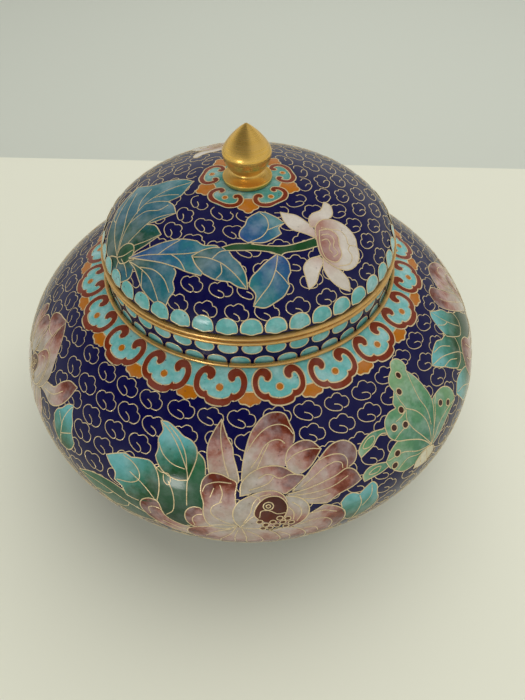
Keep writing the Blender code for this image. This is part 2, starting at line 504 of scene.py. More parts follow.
def placed(name, mesh, slot, *nodes):
    """Puts a finished mesh in the scene as a piece of the jar."""
    piece = bpy.data.objects.new(name, mesh)
    bpy.context.scene.collection.objects.link(piece)
    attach(piece, "root")
    if nodes:
        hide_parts(*nodes)


def turned(name, outline, materials, slot, nodes, steps=SKIN_STEPS, second=None, sharp=40, sweep=None):
    """A closed form turned about the jar's axis from a ring of (radius, height) points."""
    start, angle = sweep or (0.0, math.tau)
    whole = sweep is None
    form = bmesh.new()
    along = form.verts.layers.float.new("along")
    ring = outline if outline[0][0] == 0 and outline[-1][0] == 0 else outline + [outline[0]]
    corners, way, before = [], 0.0, ring[0]
    for point in ring:
        way += math.dist(before, point)
        radius = point[0] * MM
        corner = form.verts.new((radius * math.cos(start), radius * math.sin(start), point[1] * MM))
        corner[along] = way
        corners.append(corner)
        before = point
    sides = [form.edges.new(pair) for pair in zip(corners, corners[1:])]
    bmesh.ops.spin(
        form, geom=corners + sides, cent=(0, 0, 0), axis=(0, 0, 1), angle=angle, steps=steps,
        use_merge=whole, use_duplicate=False,
    )
    chart = form.loops.layers.uv.new("OFBake")
    for face in form.faces:
        turns = [(math.atan2(loop.vert.co.y, loop.vert.co.x) - start) / math.tau % 1 for loop in face.loops]
        middle = face.calc_center_median()
        here = (math.atan2(middle.y, middle.x) - start) / math.tau % 1
        for loop, turn in zip(face.loops, turns):
            if math.hypot(loop.vert.co.x, loop.vert.co.y) < 1e-7:
                turn = here
            turn += round(here - turn)
            loop[chart].uv = (turn * 0.98 + 0.01, loop.vert[along] / way)
    bmesh.ops.remove_doubles(form, verts=form.verts, dist=1e-7)
    if not whole:
        bmesh.ops.holes_fill(form, edges=[edge for edge in form.edges if edge.is_boundary], sides=0)
    bmesh.ops.recalc_face_normals(form, faces=form.faces)
    if second:
        for face in form.faces:
            middle = face.calc_center_median()
            radius = math.hypot(middle.x, middle.y)
            outwards = (face.normal.x * middle.x + face.normal.y * middle.y) / max(radius, 1e-9)
            if second(radius / MM, middle.z / MM, outwards, face.normal.z):
                face.material_index = 1
    mesh = bpy.data.meshes.new(name)
    form.to_mesh(mesh)
    form.free()
    mesh.shade_smooth()
    mesh.set_sharp_from_angle(angle=math.radians(sharp))
    for material in materials:
        mesh.materials.append(material)
    placed(name, mesh, slot, *nodes)


# Finishes


def colour(red, green, blue):
    """A colour from its eight-bit screen values."""
    parts = []
    for value in (red, green, blue):
        share = value / 255
        parts.append(share / 12.92 if share <= 0.04045 else ((share + 0.055) / 1.055) ** 2.4)
    return (*parts, 1.0)


def add_node(tree, kind, **settings):
    node = tree.nodes.new(kind)
    for key, value in settings.items():
        setattr(node, key, value)
    return node


def noise(tree, place, scale, detail=3.0, rough=0.55, distortion=0.0):
    node = add_node(tree, "ShaderNodeTexNoise")
    node.inputs["Scale"].default_value = scale
    node.inputs["Detail"].default_value = detail
    node.inputs["Roughness"].default_value = rough
    node.inputs["Distortion"].default_value = distortion
    tree.links.new(place, node.inputs["Vector"])
    return node.outputs["Fac"]


def spread(tree, value, low, high, to_low=0.0, to_high=1.0):
    """Maps one range of values on another, with its ends held."""
    node = add_node(tree, "ShaderNodeMapRange")
    node.clamp = True
    for name, number in (("From Min", low), ("From Max", high), ("To Min", to_low), ("To Max", to_high)):
        node.inputs[name].default_value = number
    tree.links.new(value, node.inputs["Value"])
    return node.outputs["Result"]


def calculate(tree, operation, first, second):
    node = add_node(tree, "ShaderNodeMath", operation=operation)
    for socket, value in zip(node.inputs, (first, second)):
        if isinstance(value, (int, float)):
            socket.default_value = value
        else:
            tree.links.new(value, socket)
    return node.outputs[0]


def blend_colours(tree, share, first, second, mode="MIX"):
    node = add_node(tree, "ShaderNodeMix", data_type="RGBA", blend_type=mode)
    for name, value in (("Factor", share), ("A", first), ("B", second)):
        socket = next(s for s in node.inputs if s.name == name and s.enabled)
        if isinstance(value, (int, float, tuple)):
            socket.default_value = value
        else:
            tree.links.new(value, socket)
    return next(s for s in node.outputs if s.enabled)


def effect(name, inputs, outputs):
    """An empty node group with named sockets, and its two end nodes."""
    tree = bpy.data.node_groups.new(name, "ShaderNodeTree")
    for label, kind, value in inputs:
        socket = tree.interface.new_socket(name=label, in_out="INPUT", socket_type=kind)
        if value is not None:
            socket.default_value = value
    for label, kind in outputs:
        tree.interface.new_socket(name=label, in_out="OUTPUT", socket_type=kind)
    return tree, add_node(tree, "NodeGroupInput"), add_node(tree, "NodeGroupOutput")


# Sizes of the patterns in the finishes, as scales of their noise
ENAMEL_CLOUDS = 180
ENAMEL_GRAIN = 900
ENAMEL_WAVES = 260
PIT_CELLS = 620
PIT_PATCHES = 330
TONE_WANDER = 230
METAL_CLOUDS = 140
METAL_GRAIN = 400

# Relief in metres, gloss, and fixed tints in linear light
ENAMEL_RELIEF = 0.00006
ENAMEL_IOR = 1.45
ENAMEL_GLOSS = 0.27
METAL_RELIEF = 0.00004
PALE_CLOUD = (0.75, 0.78, 0.8, 1.0)
GREY_GRAIN = (0.55, 0.52, 0.55, 1.0)
PIT_DARK = (0.02, 0.02, 0.03, 1.0)
TARNISH = (0.30, 0.16, 0.06, 1.0)
BRIGHT_GRAIN = (0.9, 0.75, 0.5, 1.0)


def fired_surface():
    """Cloudy, slightly pitted glass as it comes from the kiln and the polishing wheel."""
    tree, given, result = effect(
        "FiredSurface",
        [("Colour", "NodeSocketColor", None), ("Clouding", "NodeSocketFloat", 0.3),
         ("Pits", "NodeSocketFloat", 0.5)],
        [("Colour", "NodeSocketColor"), ("Roughness", "NodeSocketFloat"), ("Height", "NodeSocketFloat")],
    )
    place = add_node(tree, "ShaderNodeTexCoord").outputs["Object"]
    broad = noise(tree, place, ENAMEL_CLOUDS, 4, 0.6)
    fine = noise(tree, place, ENAMEL_GRAIN, 3, 0.6)
    lighter = spread(tree, broad, 0.42, 0.75)
    darker = spread(tree, fine, 0.35, 0.65)
    clouding = calculate(tree, "MULTIPLY", lighter, given.outputs["Clouding"])
    pale = blend_colours(tree, clouding, given.outputs["Colour"], PALE_CLOUD, "SCREEN")
    shade = calculate(tree, "MULTIPLY", darker, given.outputs["Clouding"])
    mixed = blend_colours(tree, shade, pale, GREY_GRAIN, "MULTIPLY")
    cells = add_node(tree, "ShaderNodeTexVoronoi", feature="F1")
    cells.inputs["Scale"].default_value = PIT_CELLS
    tree.links.new(place, cells.inputs["Vector"])
    sparse = spread(tree, noise(tree, place, PIT_PATCHES, 2), 0.52, 0.6)
    pit = calculate(tree, "MULTIPLY", spread(tree, cells.outputs["Distance"], 0.10, 0.2, 1.0, 0.0), sparse)
    pit = calculate(tree, "MULTIPLY", pit, given.outputs["Pits"])
    speckled = blend_colours(tree, pit, mixed, PIT_DARK)
    waves = spread(tree, noise(tree, place, ENAMEL_WAVES, 2), 0.3, 0.7, 0.0, 0.5)
    height = calculate(tree, "SUBTRACT", waves, pit)
    rough = calculate(tree, "ADD", spread(tree, broad, 0.3, 0.7, 0.10, 0.19), spread(tree, pit, 0, 1, 0, 0.3))
    tree.links.new(speckled, result.inputs["Colour"])
    tree.links.new(rough, result.inputs["Roughness"])
    tree.links.new(height, result.inputs["Height"])
    return tree


def worn_metal():
    """Gilding with broad patches of dull tarnish and a fine grain of lighter colour."""
    tree, given, result = effect(
        "WornMetal",
        [("Colour", "NodeSocketColor", None), ("Dulling", "NodeSocketFloat", 0.4),
         ("Stretch", "NodeSocketVector", (1.0, 1.0, 1.0))],
        [("Colour", "NodeSocketColor"), ("Roughness", "NodeSocketFloat"), ("Height", "NodeSocketFloat")],
    )
    place = add_node(tree, "ShaderNodeTexCoord").outputs["Object"]
    broad = noise(tree, place, METAL_CLOUDS, 3, 0.6)
    stretched = add_node(tree, "ShaderNodeVectorMath", operation="MULTIPLY")
    tree.links.new(place, stretched.inputs[0])
    tree.links.new(given.outputs["Stretch"], stretched.inputs[1])
    grain = noise(tree, stretched.outputs[0], METAL_GRAIN, 3, 0.65)
    dull = calculate(tree, "MULTIPLY", spread(tree, broad, 0.45, 0.7), given.outputs["Dulling"])
    tarnished = blend_colours(tree, dull, given.outputs["Colour"], TARNISH)
    grained = blend_colours(tree, spread(tree, grain, 0.3, 0.7, 0, 0.25), tarnished, BRIGHT_GRAIN)
    rough = spread(tree, grain, 0.3, 0.7, 0.22, 0.36)
    rough = calculate(tree, "ADD", rough, calculate(tree, "MULTIPLY", dull, 0.3))
    tree.links.new(grained, result.inputs["Colour"])
    tree.links.new(rough, result.inputs["Roughness"])
    tree.links.new(grain, result.inputs["Height"])
    return tree


FIRED = fired_surface()
METAL = worn_metal()


def material_with(name, group, bump, distance):
    """A material whose colour, roughness and bump come from one effect."""
    material = bpy.data.materials.new(name)
    material.use_nodes = True
    tree = material.node_tree
    shader = tree.nodes["Principled BSDF"]
    surface = add_node(tree, "ShaderNodeGroup", node_tree=group)
    relief = add_node(tree, "ShaderNodeBump")
    relief.inputs["Strength"].default_value = bump
    relief.inputs["Distance"].default_value = distance
    tree.links.new(surface.outputs["Colour"], shader.inputs["Base Color"])
    tree.links.new(surface.outputs["Roughness"], shader.inputs["Roughness"])
    tree.links.new(surface.outputs["Height"], relief.inputs["Height"])
    tree.links.new(relief.outputs["Normal"], shader.inputs["Normal"])
    return material, tree, shader, surface


def enamel(name, stops, clouding=0.25, pits=0.5, streaks=0.12):
    """Opaque enamel in one colour, or in colours that run into each other from root to tip."""
    material, tree, shader, surface = material_with(name, FIRED, 0.25, ENAMEL_RELIEF)
    shader.inputs["IOR"].default_value = ENAMEL_IOR
    shader.inputs["Specular IOR Level"].default_value = ENAMEL_GLOSS
    surface.inputs["Clouding"].default_value = clouding
    surface.inputs["Pits"].default_value = pits
    if len(stops) == 1:
        surface.inputs["Colour"].default_value = colour(*stops[0][1])
        return material
    attribute = add_node(tree, "ShaderNodeAttribute", attribute_name="tone")
    place = add_node(tree, "ShaderNodeTexCoord").outputs["Object"]
    wander = spread(tree, noise(tree, place, TONE_WANDER, 4, 0.65, 0.4), 0.25, 0.75, -streaks, streaks)
    ramp = add_node(tree, "ShaderNodeValToRGB")
    tree.links.new(calculate(tree, "ADD", attribute.outputs["Fac"], wander), ramp.inputs["Fac"])
    elements = ramp.color_ramp.elements
    while len(elements) > 1:
        elements.remove(elements[0])
    elements[0].position = stops[0][0]
    elements[0].color = colour(*stops[0][1])
    for position, shade in stops[1:]:
        elements.new(position).color = colour(*shade)
    tree.links.new(ramp.outputs["Color"], surface.inputs["Colour"])
    return material


def metal(name, tint, dulling, stretch, bump=0.1, metallic=1.0):
    """Gilt or turned metal with a fine grain, which the stretch draws out along the axes."""
    material, _, shader, surface = material_with(name, METAL, bump, METAL_RELIEF)
    shader.inputs["Metallic"].default_value = metallic
    surface.inputs["Colour"].default_value = colour(*tint)
    surface.inputs["Dulling"].default_value = dulling
    surface.inputs["Stretch"].default_value = stretch
    return material


COBALT = enamel("cobalt_enamel", [(0, (10, 8, 60))], clouding=0.008, pits=0.3)
LINING = enamel("counter_enamel", [(0, (70, 150, 165))], clouding=0.3, pits=0.9)
TURQUOISE = enamel("turquoise_enamel", [(0, (100, 172, 170))], clouding=0.35, pits=0.8)
DEEP_TURQUOISE = enamel("deep_turquoise_enamel", [(0, (74, 142, 132))], clouding=0.4, pits=0.8)
IRON_RED = enamel("iron_red_enamel", [(0, (112, 42, 18))], clouding=0.04)
OCHRE = enamel("ochre_enamel", [(0, (166, 98, 14))], clouding=0.07)
FINISHES = {
    "peony": enamel("peony_enamel", [
        (0.0, (158, 146, 130)), (0.28, (170, 150, 136)), (0.52, (164, 124, 112)), (0.68, (136, 78, 62)),
        (0.82, (98, 40, 24)),
    ], clouding=0.3, streaks=0.26),
    "heart": enamel("peony_heart_enamel", [(0, (88, 34, 16)), (1, (58, 18, 8))], clouding=0.03),
    "leaf": enamel("leaf_enamel", [
        (0.0, (10, 42, 18)), (0.34, (26, 72, 38)), (0.58, (58, 122, 106)), (0.88, (96, 164, 166)),
    ], clouding=0.15, streaks=0.12),
    "dark_leaf": enamel("dark_leaf_enamel", [(0.0, (16, 52, 30)), (1.0, (42, 98, 64))], clouding=0.08),
    "wing": enamel("wing_enamel", [
        (0.0, (50, 112, 88)), (0.45, (82, 134, 98)), (1.0, (122, 158, 116)),
    ], clouding=0.3, streaks=0.2),
    "cream": enamel("cream_enamel", [(0, (206, 198, 168))], clouding=0.2),
    "spot": enamel("spot_enamel", [(0, (58, 26, 16))], clouding=0.03),
    "stamen": enamel("stamen_enamel", [(0, (84, 42, 18))], clouding=0.04),
    "lid_leaf": enamel("lid_leaf_enamel", [
        (0.0, (10, 48, 24)), (0.22, (22, 72, 58)), (0.5, (30, 86, 104)), (1.0, (42, 106, 114)),
    ], clouding=0.2, streaks=0.16),
    "lid_blue": enamel("lid_blue_enamel", [
        (0.0, (40, 72, 124)), (0.35, (38, 86, 122)), (0.7, (42, 104, 118)), (1.0, (50, 116, 116)),
    ], clouding=0.2, streaks=0.18),
    "stem": enamel("stem_enamel", [(0, (20, 64, 30))], clouding=0.05),
    "magnolia": enamel("magnolia_enamel", [
        (0.0, (156, 112, 98)), (0.35, (182, 160, 148)), (0.7, (194, 185, 173)),
    ], clouding=0.2, streaks=0.15),
    "magnolia_heart": enamel("magnolia_heart_enamel", [(0.0, (138, 92, 82)), (1.0, (174, 136, 124))]),
}
CELL_WIRE = metal("gilt_cell_wire", (212, 190, 146), 0.1, (1, 1, 1), bump=0.05, metallic=0.4)
GILT = metal("gilt_rims", (222, 172, 92), 0.3, (1, 1, 6), metallic=0.85)
BRASS = metal("turned_brass", (244, 194, 84), 0.15, (0.2, 0.2, 20), bump=0.1, metallic=0.85)


# Skins, rims and finial


def jar_skin():
    """Bowl, neck, lining and base as one closed wall."""
    hollow_radius = BELLY_RADIUS - BODY_WALL
    throat_radius = NECK_MOUTH_RADIUS - BODY_WALL
    rise = SHOULDER_RISE - BODY_WALL
    throat = climb_at(hollow_radius, rise, SHOULDER_FULLNESS, throat_radius)
    floor = BASE_LEVEL + BODY_WALL
    vault = swell(hollow_radius, rise, SHOULDER_FULLNESS, throat, 0, LINING_STEPS)
    depth = UNDERSIDE_DROP - BODY_WALL
    well = swell(hollow_radius, depth, UNDERSIDE_FULLNESS, 0, floor - BELLY_LINE, LINING_STEPS)
    outline = [(0, BASE_LEVEL)]
    outline += list(reversed(evenly(BOWL_OUTLINE, ROW)))
    outline += [(NECK_MOUTH_RADIUS, NECK_TOP), (throat_radius, NECK_TOP)]
    outline += lifted(vault + well[1:], BELLY_LINE)
    outline += [(0, floor)]

    def is_lining(radius, height, outwards, upwards):
        """The hollow, where faces look to the axis or lie near it, and the flat base."""
        looks_in = outwards < -SIDEWAYS or (radius < throat_radius - 1 and outwards <= SIDEWAYS)
        return (height > floor - 1 and looks_in) or height < BASE_LEVEL + 0.05

    turned("jar_skin", outline, [COBALT, LINING], "cobalt_enamel", ["jar_body"], second=is_lining)


def lid_skin():
    """Dome and its lining as one closed shell."""
    hollow_rise = LID_SEAT_CLIMB - LID_WALL
    hollow = swell(LID_RADIUS - LID_WALL, hollow_rise, LID_FULLNESS, 0, hollow_rise, LINING_STEPS)
    dome = swell(LID_RADIUS, LID_RISE, LID_FULLNESS, LID_SEAT_CLIMB, 0, LID_SKIN_STEPS)
    outline = [(0, LID_TOP)] + lifted(dome, LID_LEVEL)
    outline += lifted(hollow[:-1], LID_LEVEL) + [(0, LID_LEVEL + hollow_rise)]

    def is_lining(radius, height, outwards, upwards):
        return upwards < -SIDEWAYS or outwards < -SIDEWAYS

    turned("lid_skin", outline, [COBALT, LINING], "cobalt_enamel", ["lid_dome"], second=is_lining)


def half_round(radius, level, height, steps=10):
    """Outer side of a rim from its lower to its upper edge."""
    depth = height / 2
    points = []
    for step in range(steps + 1):
        turn = math.pi * (step / steps - 0.5)
        points.append((radius - depth + depth * math.cos(turn), level + depth + depth * math.sin(turn)))
    return points


def metal_rims():
    """The mouth ring, the lid ring with its collar, and the foot ring."""
    rim_height = RIM_HIGH[2] - RIM_LOW[2]
    bore_margin, collar_gap = 0.2, 0.5
    bore = NECK_MOUTH_RADIUS - BODY_WALL - bore_margin
    ring = [(bore, RIM_LOW[2])] + half_round(RIM_HIGH[0], RIM_LOW[2], rim_height) + [(bore, RIM_HIGH[2])]
    turned("mouth_ring", ring, [GILT], "gilt_brass", ["mouth_rim"])
    collar, collar_wall, reach = bore - collar_gap, 1, 4.5
    bottom, level = LID_RIM_LOW[2], LID_RIM_LOW[2] + reach
    ring = [(collar - collar_wall, bottom), (collar, bottom), (collar, level)]
    ring += half_round(LID_RIM_HIGH[0], level, rim_height) + [(collar - collar_wall, LID_RIM_HIGH[2])]
    turned("lid_ring", ring, [GILT], "gilt_brass", ["lid_rim"])
    foot_wall, foot_taper, edge = 2.4, 0.8, 0.3
    top, height = FOOT_HIGH[0], FOOT_HIGH[2]
    outer = top - foot_taper
    inner = outer - foot_wall
    ring = [
        (inner, edge), (inner + edge, 0), (outer - edge, 0), (outer, edge), (top - 0.1, height - 0.4),
        (top - edge, height), (top - foot_wall, height),
    ]
    turned("foot_ring", ring, [GILT], "gilt_brass", ["foot_rim"])


def shoulder_wire():
    """Round wire in the corner between shoulder and neck, with a small gap at its joint."""
    low, high = packed_box("shoulder_wire")
    radius = (high[2] - low[2]) / 2
    centre = (high[0] - radius, low[2] + radius)
    gap = WIRE_JOINT_GAP / centre[0]
    joint = math.radians(WIRE_JOINT_TURN - 90)
    turned(
        "neck_foot_wire", round_outline(centre, radius), [GILT], "gilt_brass", ["shoulder_wire"],
        sweep=(joint + gap / 2, math.tau - gap),
    )


def finial():
    """Flange with a lip, cove, narrow waist and pointed bud, turned in one."""
    floor = FINIAL_LOW[2]
    flange, flange_height, undercut, lip, cove_depth = 7.4, 1.4, 0.3, 0.6, 1.3
    waist_radius, bud_radius, bud_round, point_rise = 4.0, 7.2, 7.4, 8.1
    point_bulge, point_hollow = 1.335, 0.871
    cove_foot = floor + flange_height
    waist = cove_foot + cove_depth
    outline = [
        (0, floor), (flange - undercut, floor), (flange - 0.05, floor + 0.5), (flange, cove_foot - undercut),
        (flange - 0.1, cove_foot - 0.1), (flange - undercut, cove_foot),
    ]
    cove_radius = flange - lip
    for step in range(8):
        turn = math.pi / 2 * step / 8
        inwards = (cove_radius - waist_radius) * math.sin(turn)
        outline.append((cove_radius - inwards, waist - cove_depth * math.cos(turn)))
    waist_turn = math.acos(waist_radius / bud_radius)
    belly = waist + bud_round * math.sin(waist_turn)
    for step in range(16):
        turn = waist_turn * (1 - step / 16)
        outline.append((bud_radius * math.cos(turn), belly - bud_round * math.sin(turn)))
    for step in range(24):
        share = step / 24
        outline.append((bud_radius * (1 - share**point_bulge) ** point_hollow, belly + point_rise * share))
    outline.append((0, FINIAL_HIGH[2]))
    turned("bud_finial", outline, [BRASS], "turned_brass", ["finial"], steps=FINIAL_STEPS, sharp=30)


# Borders


class CollarBorder:
    """Cloud-collar heads, each with a curled band and a dot, and ochre lobes between them."""

    def __init__(self, skin, level, width):
        self.level = level
        self.width = width
        self.ground, self.bands, self.ochre, self.wires = (Drawing(skin) for _ in range(4))

    def head(self, silhouette, band, dot):
        """One head, with its band and its dot a level above it."""
        above = self.level + 1
        self.ground.fill(silhouette, self.level)
        self.bands.fill(band, above)
        self.wires.wire(band, above, True, self.width)
        self.ochre.fill(dot, above)
        self.wires.wire(dot, above, True)

    def lobe(self, outline, heads):
        """One lobe a level below the heads, with its wire where no head covers it."""
        below = self.level - 1
        self.ochre.fill(outline, below)
        for run in runs_outside(outline + outline[:1], heads):
            self.wires.wire(run, below, width=self.width)

    def pieces(self, name, ground_enamel):
        self.ground.piece(name + "_turquoise", ground_enamel)
        self.bands.piece(name + "_iron_red", IRON_RED)
        self.ochre.piece(name + "_ochre", OCHRE)
        self.wires.piece(name + "_wire", CELL_WIRE)


def ruyi_border():
    """The border under the shoulder wire, hung from its upper edge down to its drop."""
    half_band = [
        (0, RUYI_DROP), (-3.1, 12.0), (-3.8, 11.1, TIP), (-5.3, 10.9), (-7.4, 9.3), (-8.3, 6.2), (-7.5, 4.0),
        (-5.3, 2.6), (-3.0, 3.0), (-2.0, 4.2), (-2.2, 5.5), (-3.3, 6.3), (-4.4, 5.9),
    ]
    half_inner = [
        (-4.5, 5.2), (-5.5, 4.8), (-6.3, 6.0), (-6.0, 8.2), (-4.7, 9.2), (-3.5, 9.1, TIP), (-3.0, 10.0),
        (0, 10.7),
    ]
    half_band, half_inner = (
        [(x, y - RUYI_LIFT * (1 - y / RUYI_DROP), *mark) for x, y, *mark in line]
        for line in (half_band, half_inner)
    )
    left = half_band[1:] + half_inner
    band = [(0, RUYI_DROP)] + left + mirrored(left)[1:]
    silhouette = half_band[1:8] + [(-4.2, 0.7, TIP)]
    silhouette = [(0, RUYI_DROP)] + silhouette + mirrored(silhouette)
    lobe = [(-3.1, 8.2, TIP), (-3.4, 9.8), (-2.6, 11.5), (-1.2, 11.7), (0, 12.3)]
    lobe = lobe + mirrored(lobe)[1:]
    gusset = [(-4.9, 0.8), (4.9, 0.8), (2.4, 4.5), (1.0, 8.2), (-1.0, 8.2), (-2.4, 4.5)]
    dot_way, dot_radius = 7.2, 1.1
    border = CollarBorder(bowl, 2, BORDER_WIDTH)
    pitch = 360 / RUYI_HEADS
    centres = [RUYI_TURN + pitch * index for index in range(RUYI_HEADS)]
    for centre in centres:
        head = drawn(moved(silhouette, centre, 0), True, FINE_STEP)
        curl = drawn(moved(band, centre, 0), True, BAND_STEP)
        border.head(head, curl, round_outline((centre, dot_way), dot_radius, bowl.stretch(dot_way), 12))
        between = drawn(moved(lobe, centre + pitch / 2, 0), True, FINE_STEP)
        border.lobe(between, [np.array(head), np.array(moved(head, pitch, 0))])
    for centre in centres:
        border.ground.fill(moved(gusset, centre + pitch / 2, 0), GUSSET_LEVEL)
    border.pieces("ruyi", TURQUOISE)


def bead_row(skin, name, arches, level):
    """Turquoise half rounds with a wire round each."""
    beads, wires = Drawing(skin), Drawing(skin)
    for arch in arches:
        beads.fill(arch, level)
        wires.wire(arch, level, True, BEAD_WIDTH)
    beads.piece(name + "s", TURQUOISE)
    wires.piece(name + "_wire", CELL_WIRE)


def bead_rows():
    """Beads along the lid's edge, above the foot, and in two rows round the neck."""
    pitch = 360 / BEADS
    turns = [pitch * index for index in range(BEADS)]
    arch = [(0, LID_WAY - 0.3), (-2.1, LID_WAY - 0.8), (-3.4, 52.2), (-3.6, 50.8), (-2.9, 49.3), (-1.5, 48.5)]
    arch = arch + [(0, 48.3)] + mirrored(arch)[:-1]
    on_lid = [drawn(moved(arch, turn, 0), True, FINE_STEP) for turn in turns]
    bead_row(lid_edge, "lid_bead", on_lid, BEAD_LEVEL)
    foot = BOWL_WAY - 0.6
    arch = [(-3.3, foot, TIP), (-3.6, foot - 2.4), (-2.4, foot - 4.4), (0, foot - 5.2)]
    arch = arch + mirrored(arch)[1:]
    at_foot = [drawn(moved(arch, turn, 0), True, FINE_STEP) for turn in turns]
    bead_row(bowl, "foot_bead", at_foot, BEAD_LEVEL)
    drop = [(-2.9, 0.05, TIP), (-3.4, 1.1), (-2.8, 2.4), (-1.4, 3.1), (0, 3.25)]
    drop = drop + mirrored(drop)[1:]
    stand = [(x, neck.way[-1] - y, *mark) for x, y, *mark in drop]
    on_neck = []
    for turn in turns:
        on_neck.append(drawn(moved(drop, turn, 0), True, FINE_STEP))
        on_neck.append(drawn(moved(stand, turn + pitch / 2, 0), True, FINE_STEP))
    bead_row(neck, "neck_bead", on_neck, 1)
    lid_outlines = [np.array([seen_from_above(*point) for point in arch]) for arch in on_lid]
    return lid_outlines, [np.array(arch) for arch in at_foot]


# Pictures: enamel fields laid over one another, with a wire round each


class Picture:
    """A flower, leaf or insect drawn as enamel fields with their cell wires and veins."""

    def __init__(self, skin, place, stretch):
        self.skin = skin
        self.place = place
        self.stretch = stretch
        self.fields = []
        self.veins = []

    def field(self, finish, outline, root=None, tip=None):
        """A field of one finish, laid over those drawn before it."""
        line = drawn(self.place(outline), True, stretch=self.stretch)
        points = np.array(line)
        level = 1
        for other in self.fields:
            over = are_inside(points, other["points"]).mean()
            under = are_inside(other["points"], points).mean()
            if max(over, under) > OVERLAP:
                level = max(level, other["level"] + 1)
        ends = self.place([root, tip]) if root else ()
        self.fields.append({"finish": finish, "line": line, "points": points, "level": level, "ends": ends})

    def vein(self, points):
        """A wire on the fields drawn so far. It is closed where its last point is its first."""
        closed = points[0] == points[-1]
        line = drawn(self.place(points[:-1] if closed else points), closed, stretch=self.stretch)
        self.veins.append((line + line[:1] if closed else line, len(self.fields)))

    def draw(self, parts):
        """Fields from back to front, each with its finish, root, tip, outline and veins."""
        for finish, root, tip, outline, *veins in parts:
            self.field(finish, outline, root, tip)
            for points in veins:
                self.vein(points)

    def spots(self, finish, radius, places):
        """Small round fields, such as eye spots or stamens."""
        for centre in places:
            self.field(finish, round_outline(centre, radius, self.stretch, SPOT_SIDES))

    def pieces(self, name):
        """Makes one piece of each finish and one of the wires, and gives the covered outlines."""
        finishes = dict.fromkeys(field["finish"] for field in self.fields)
        sheets = {finish: Drawing(self.skin) for finish in finishes}
        wires = Drawing(self.skin)
        for field in self.fields:
            sheets[field["finish"]].fill(field["line"], field["level"], *field["ends"])
        outlines = [field["points"] for field in self.fields]
        for index, field in enumerate(self.fields):
            line = field["line"] + field["line"][:2]
            for run in runs_outside(line, outlines[index + 1 :], 2, MARGIN, self.stretch):
                wires.wire(run, field["level"])
        for line, index in self.veins:
            below = [f["level"] for f in self.fields[:index] if are_inside(np.array(line), f["points"]).any()]
            for run in runs_outside(line, outlines[index:], 2):
                wires.wire(run, max(below, default=1), width=VEIN_WIDTH)
        for finish, sheet in sheets.items():
            sheet.piece(f"{name}_{finish}", FINISHES[finish])
        wires.piece(f"{name}_wire", CELL_WIRE)
        return outlines


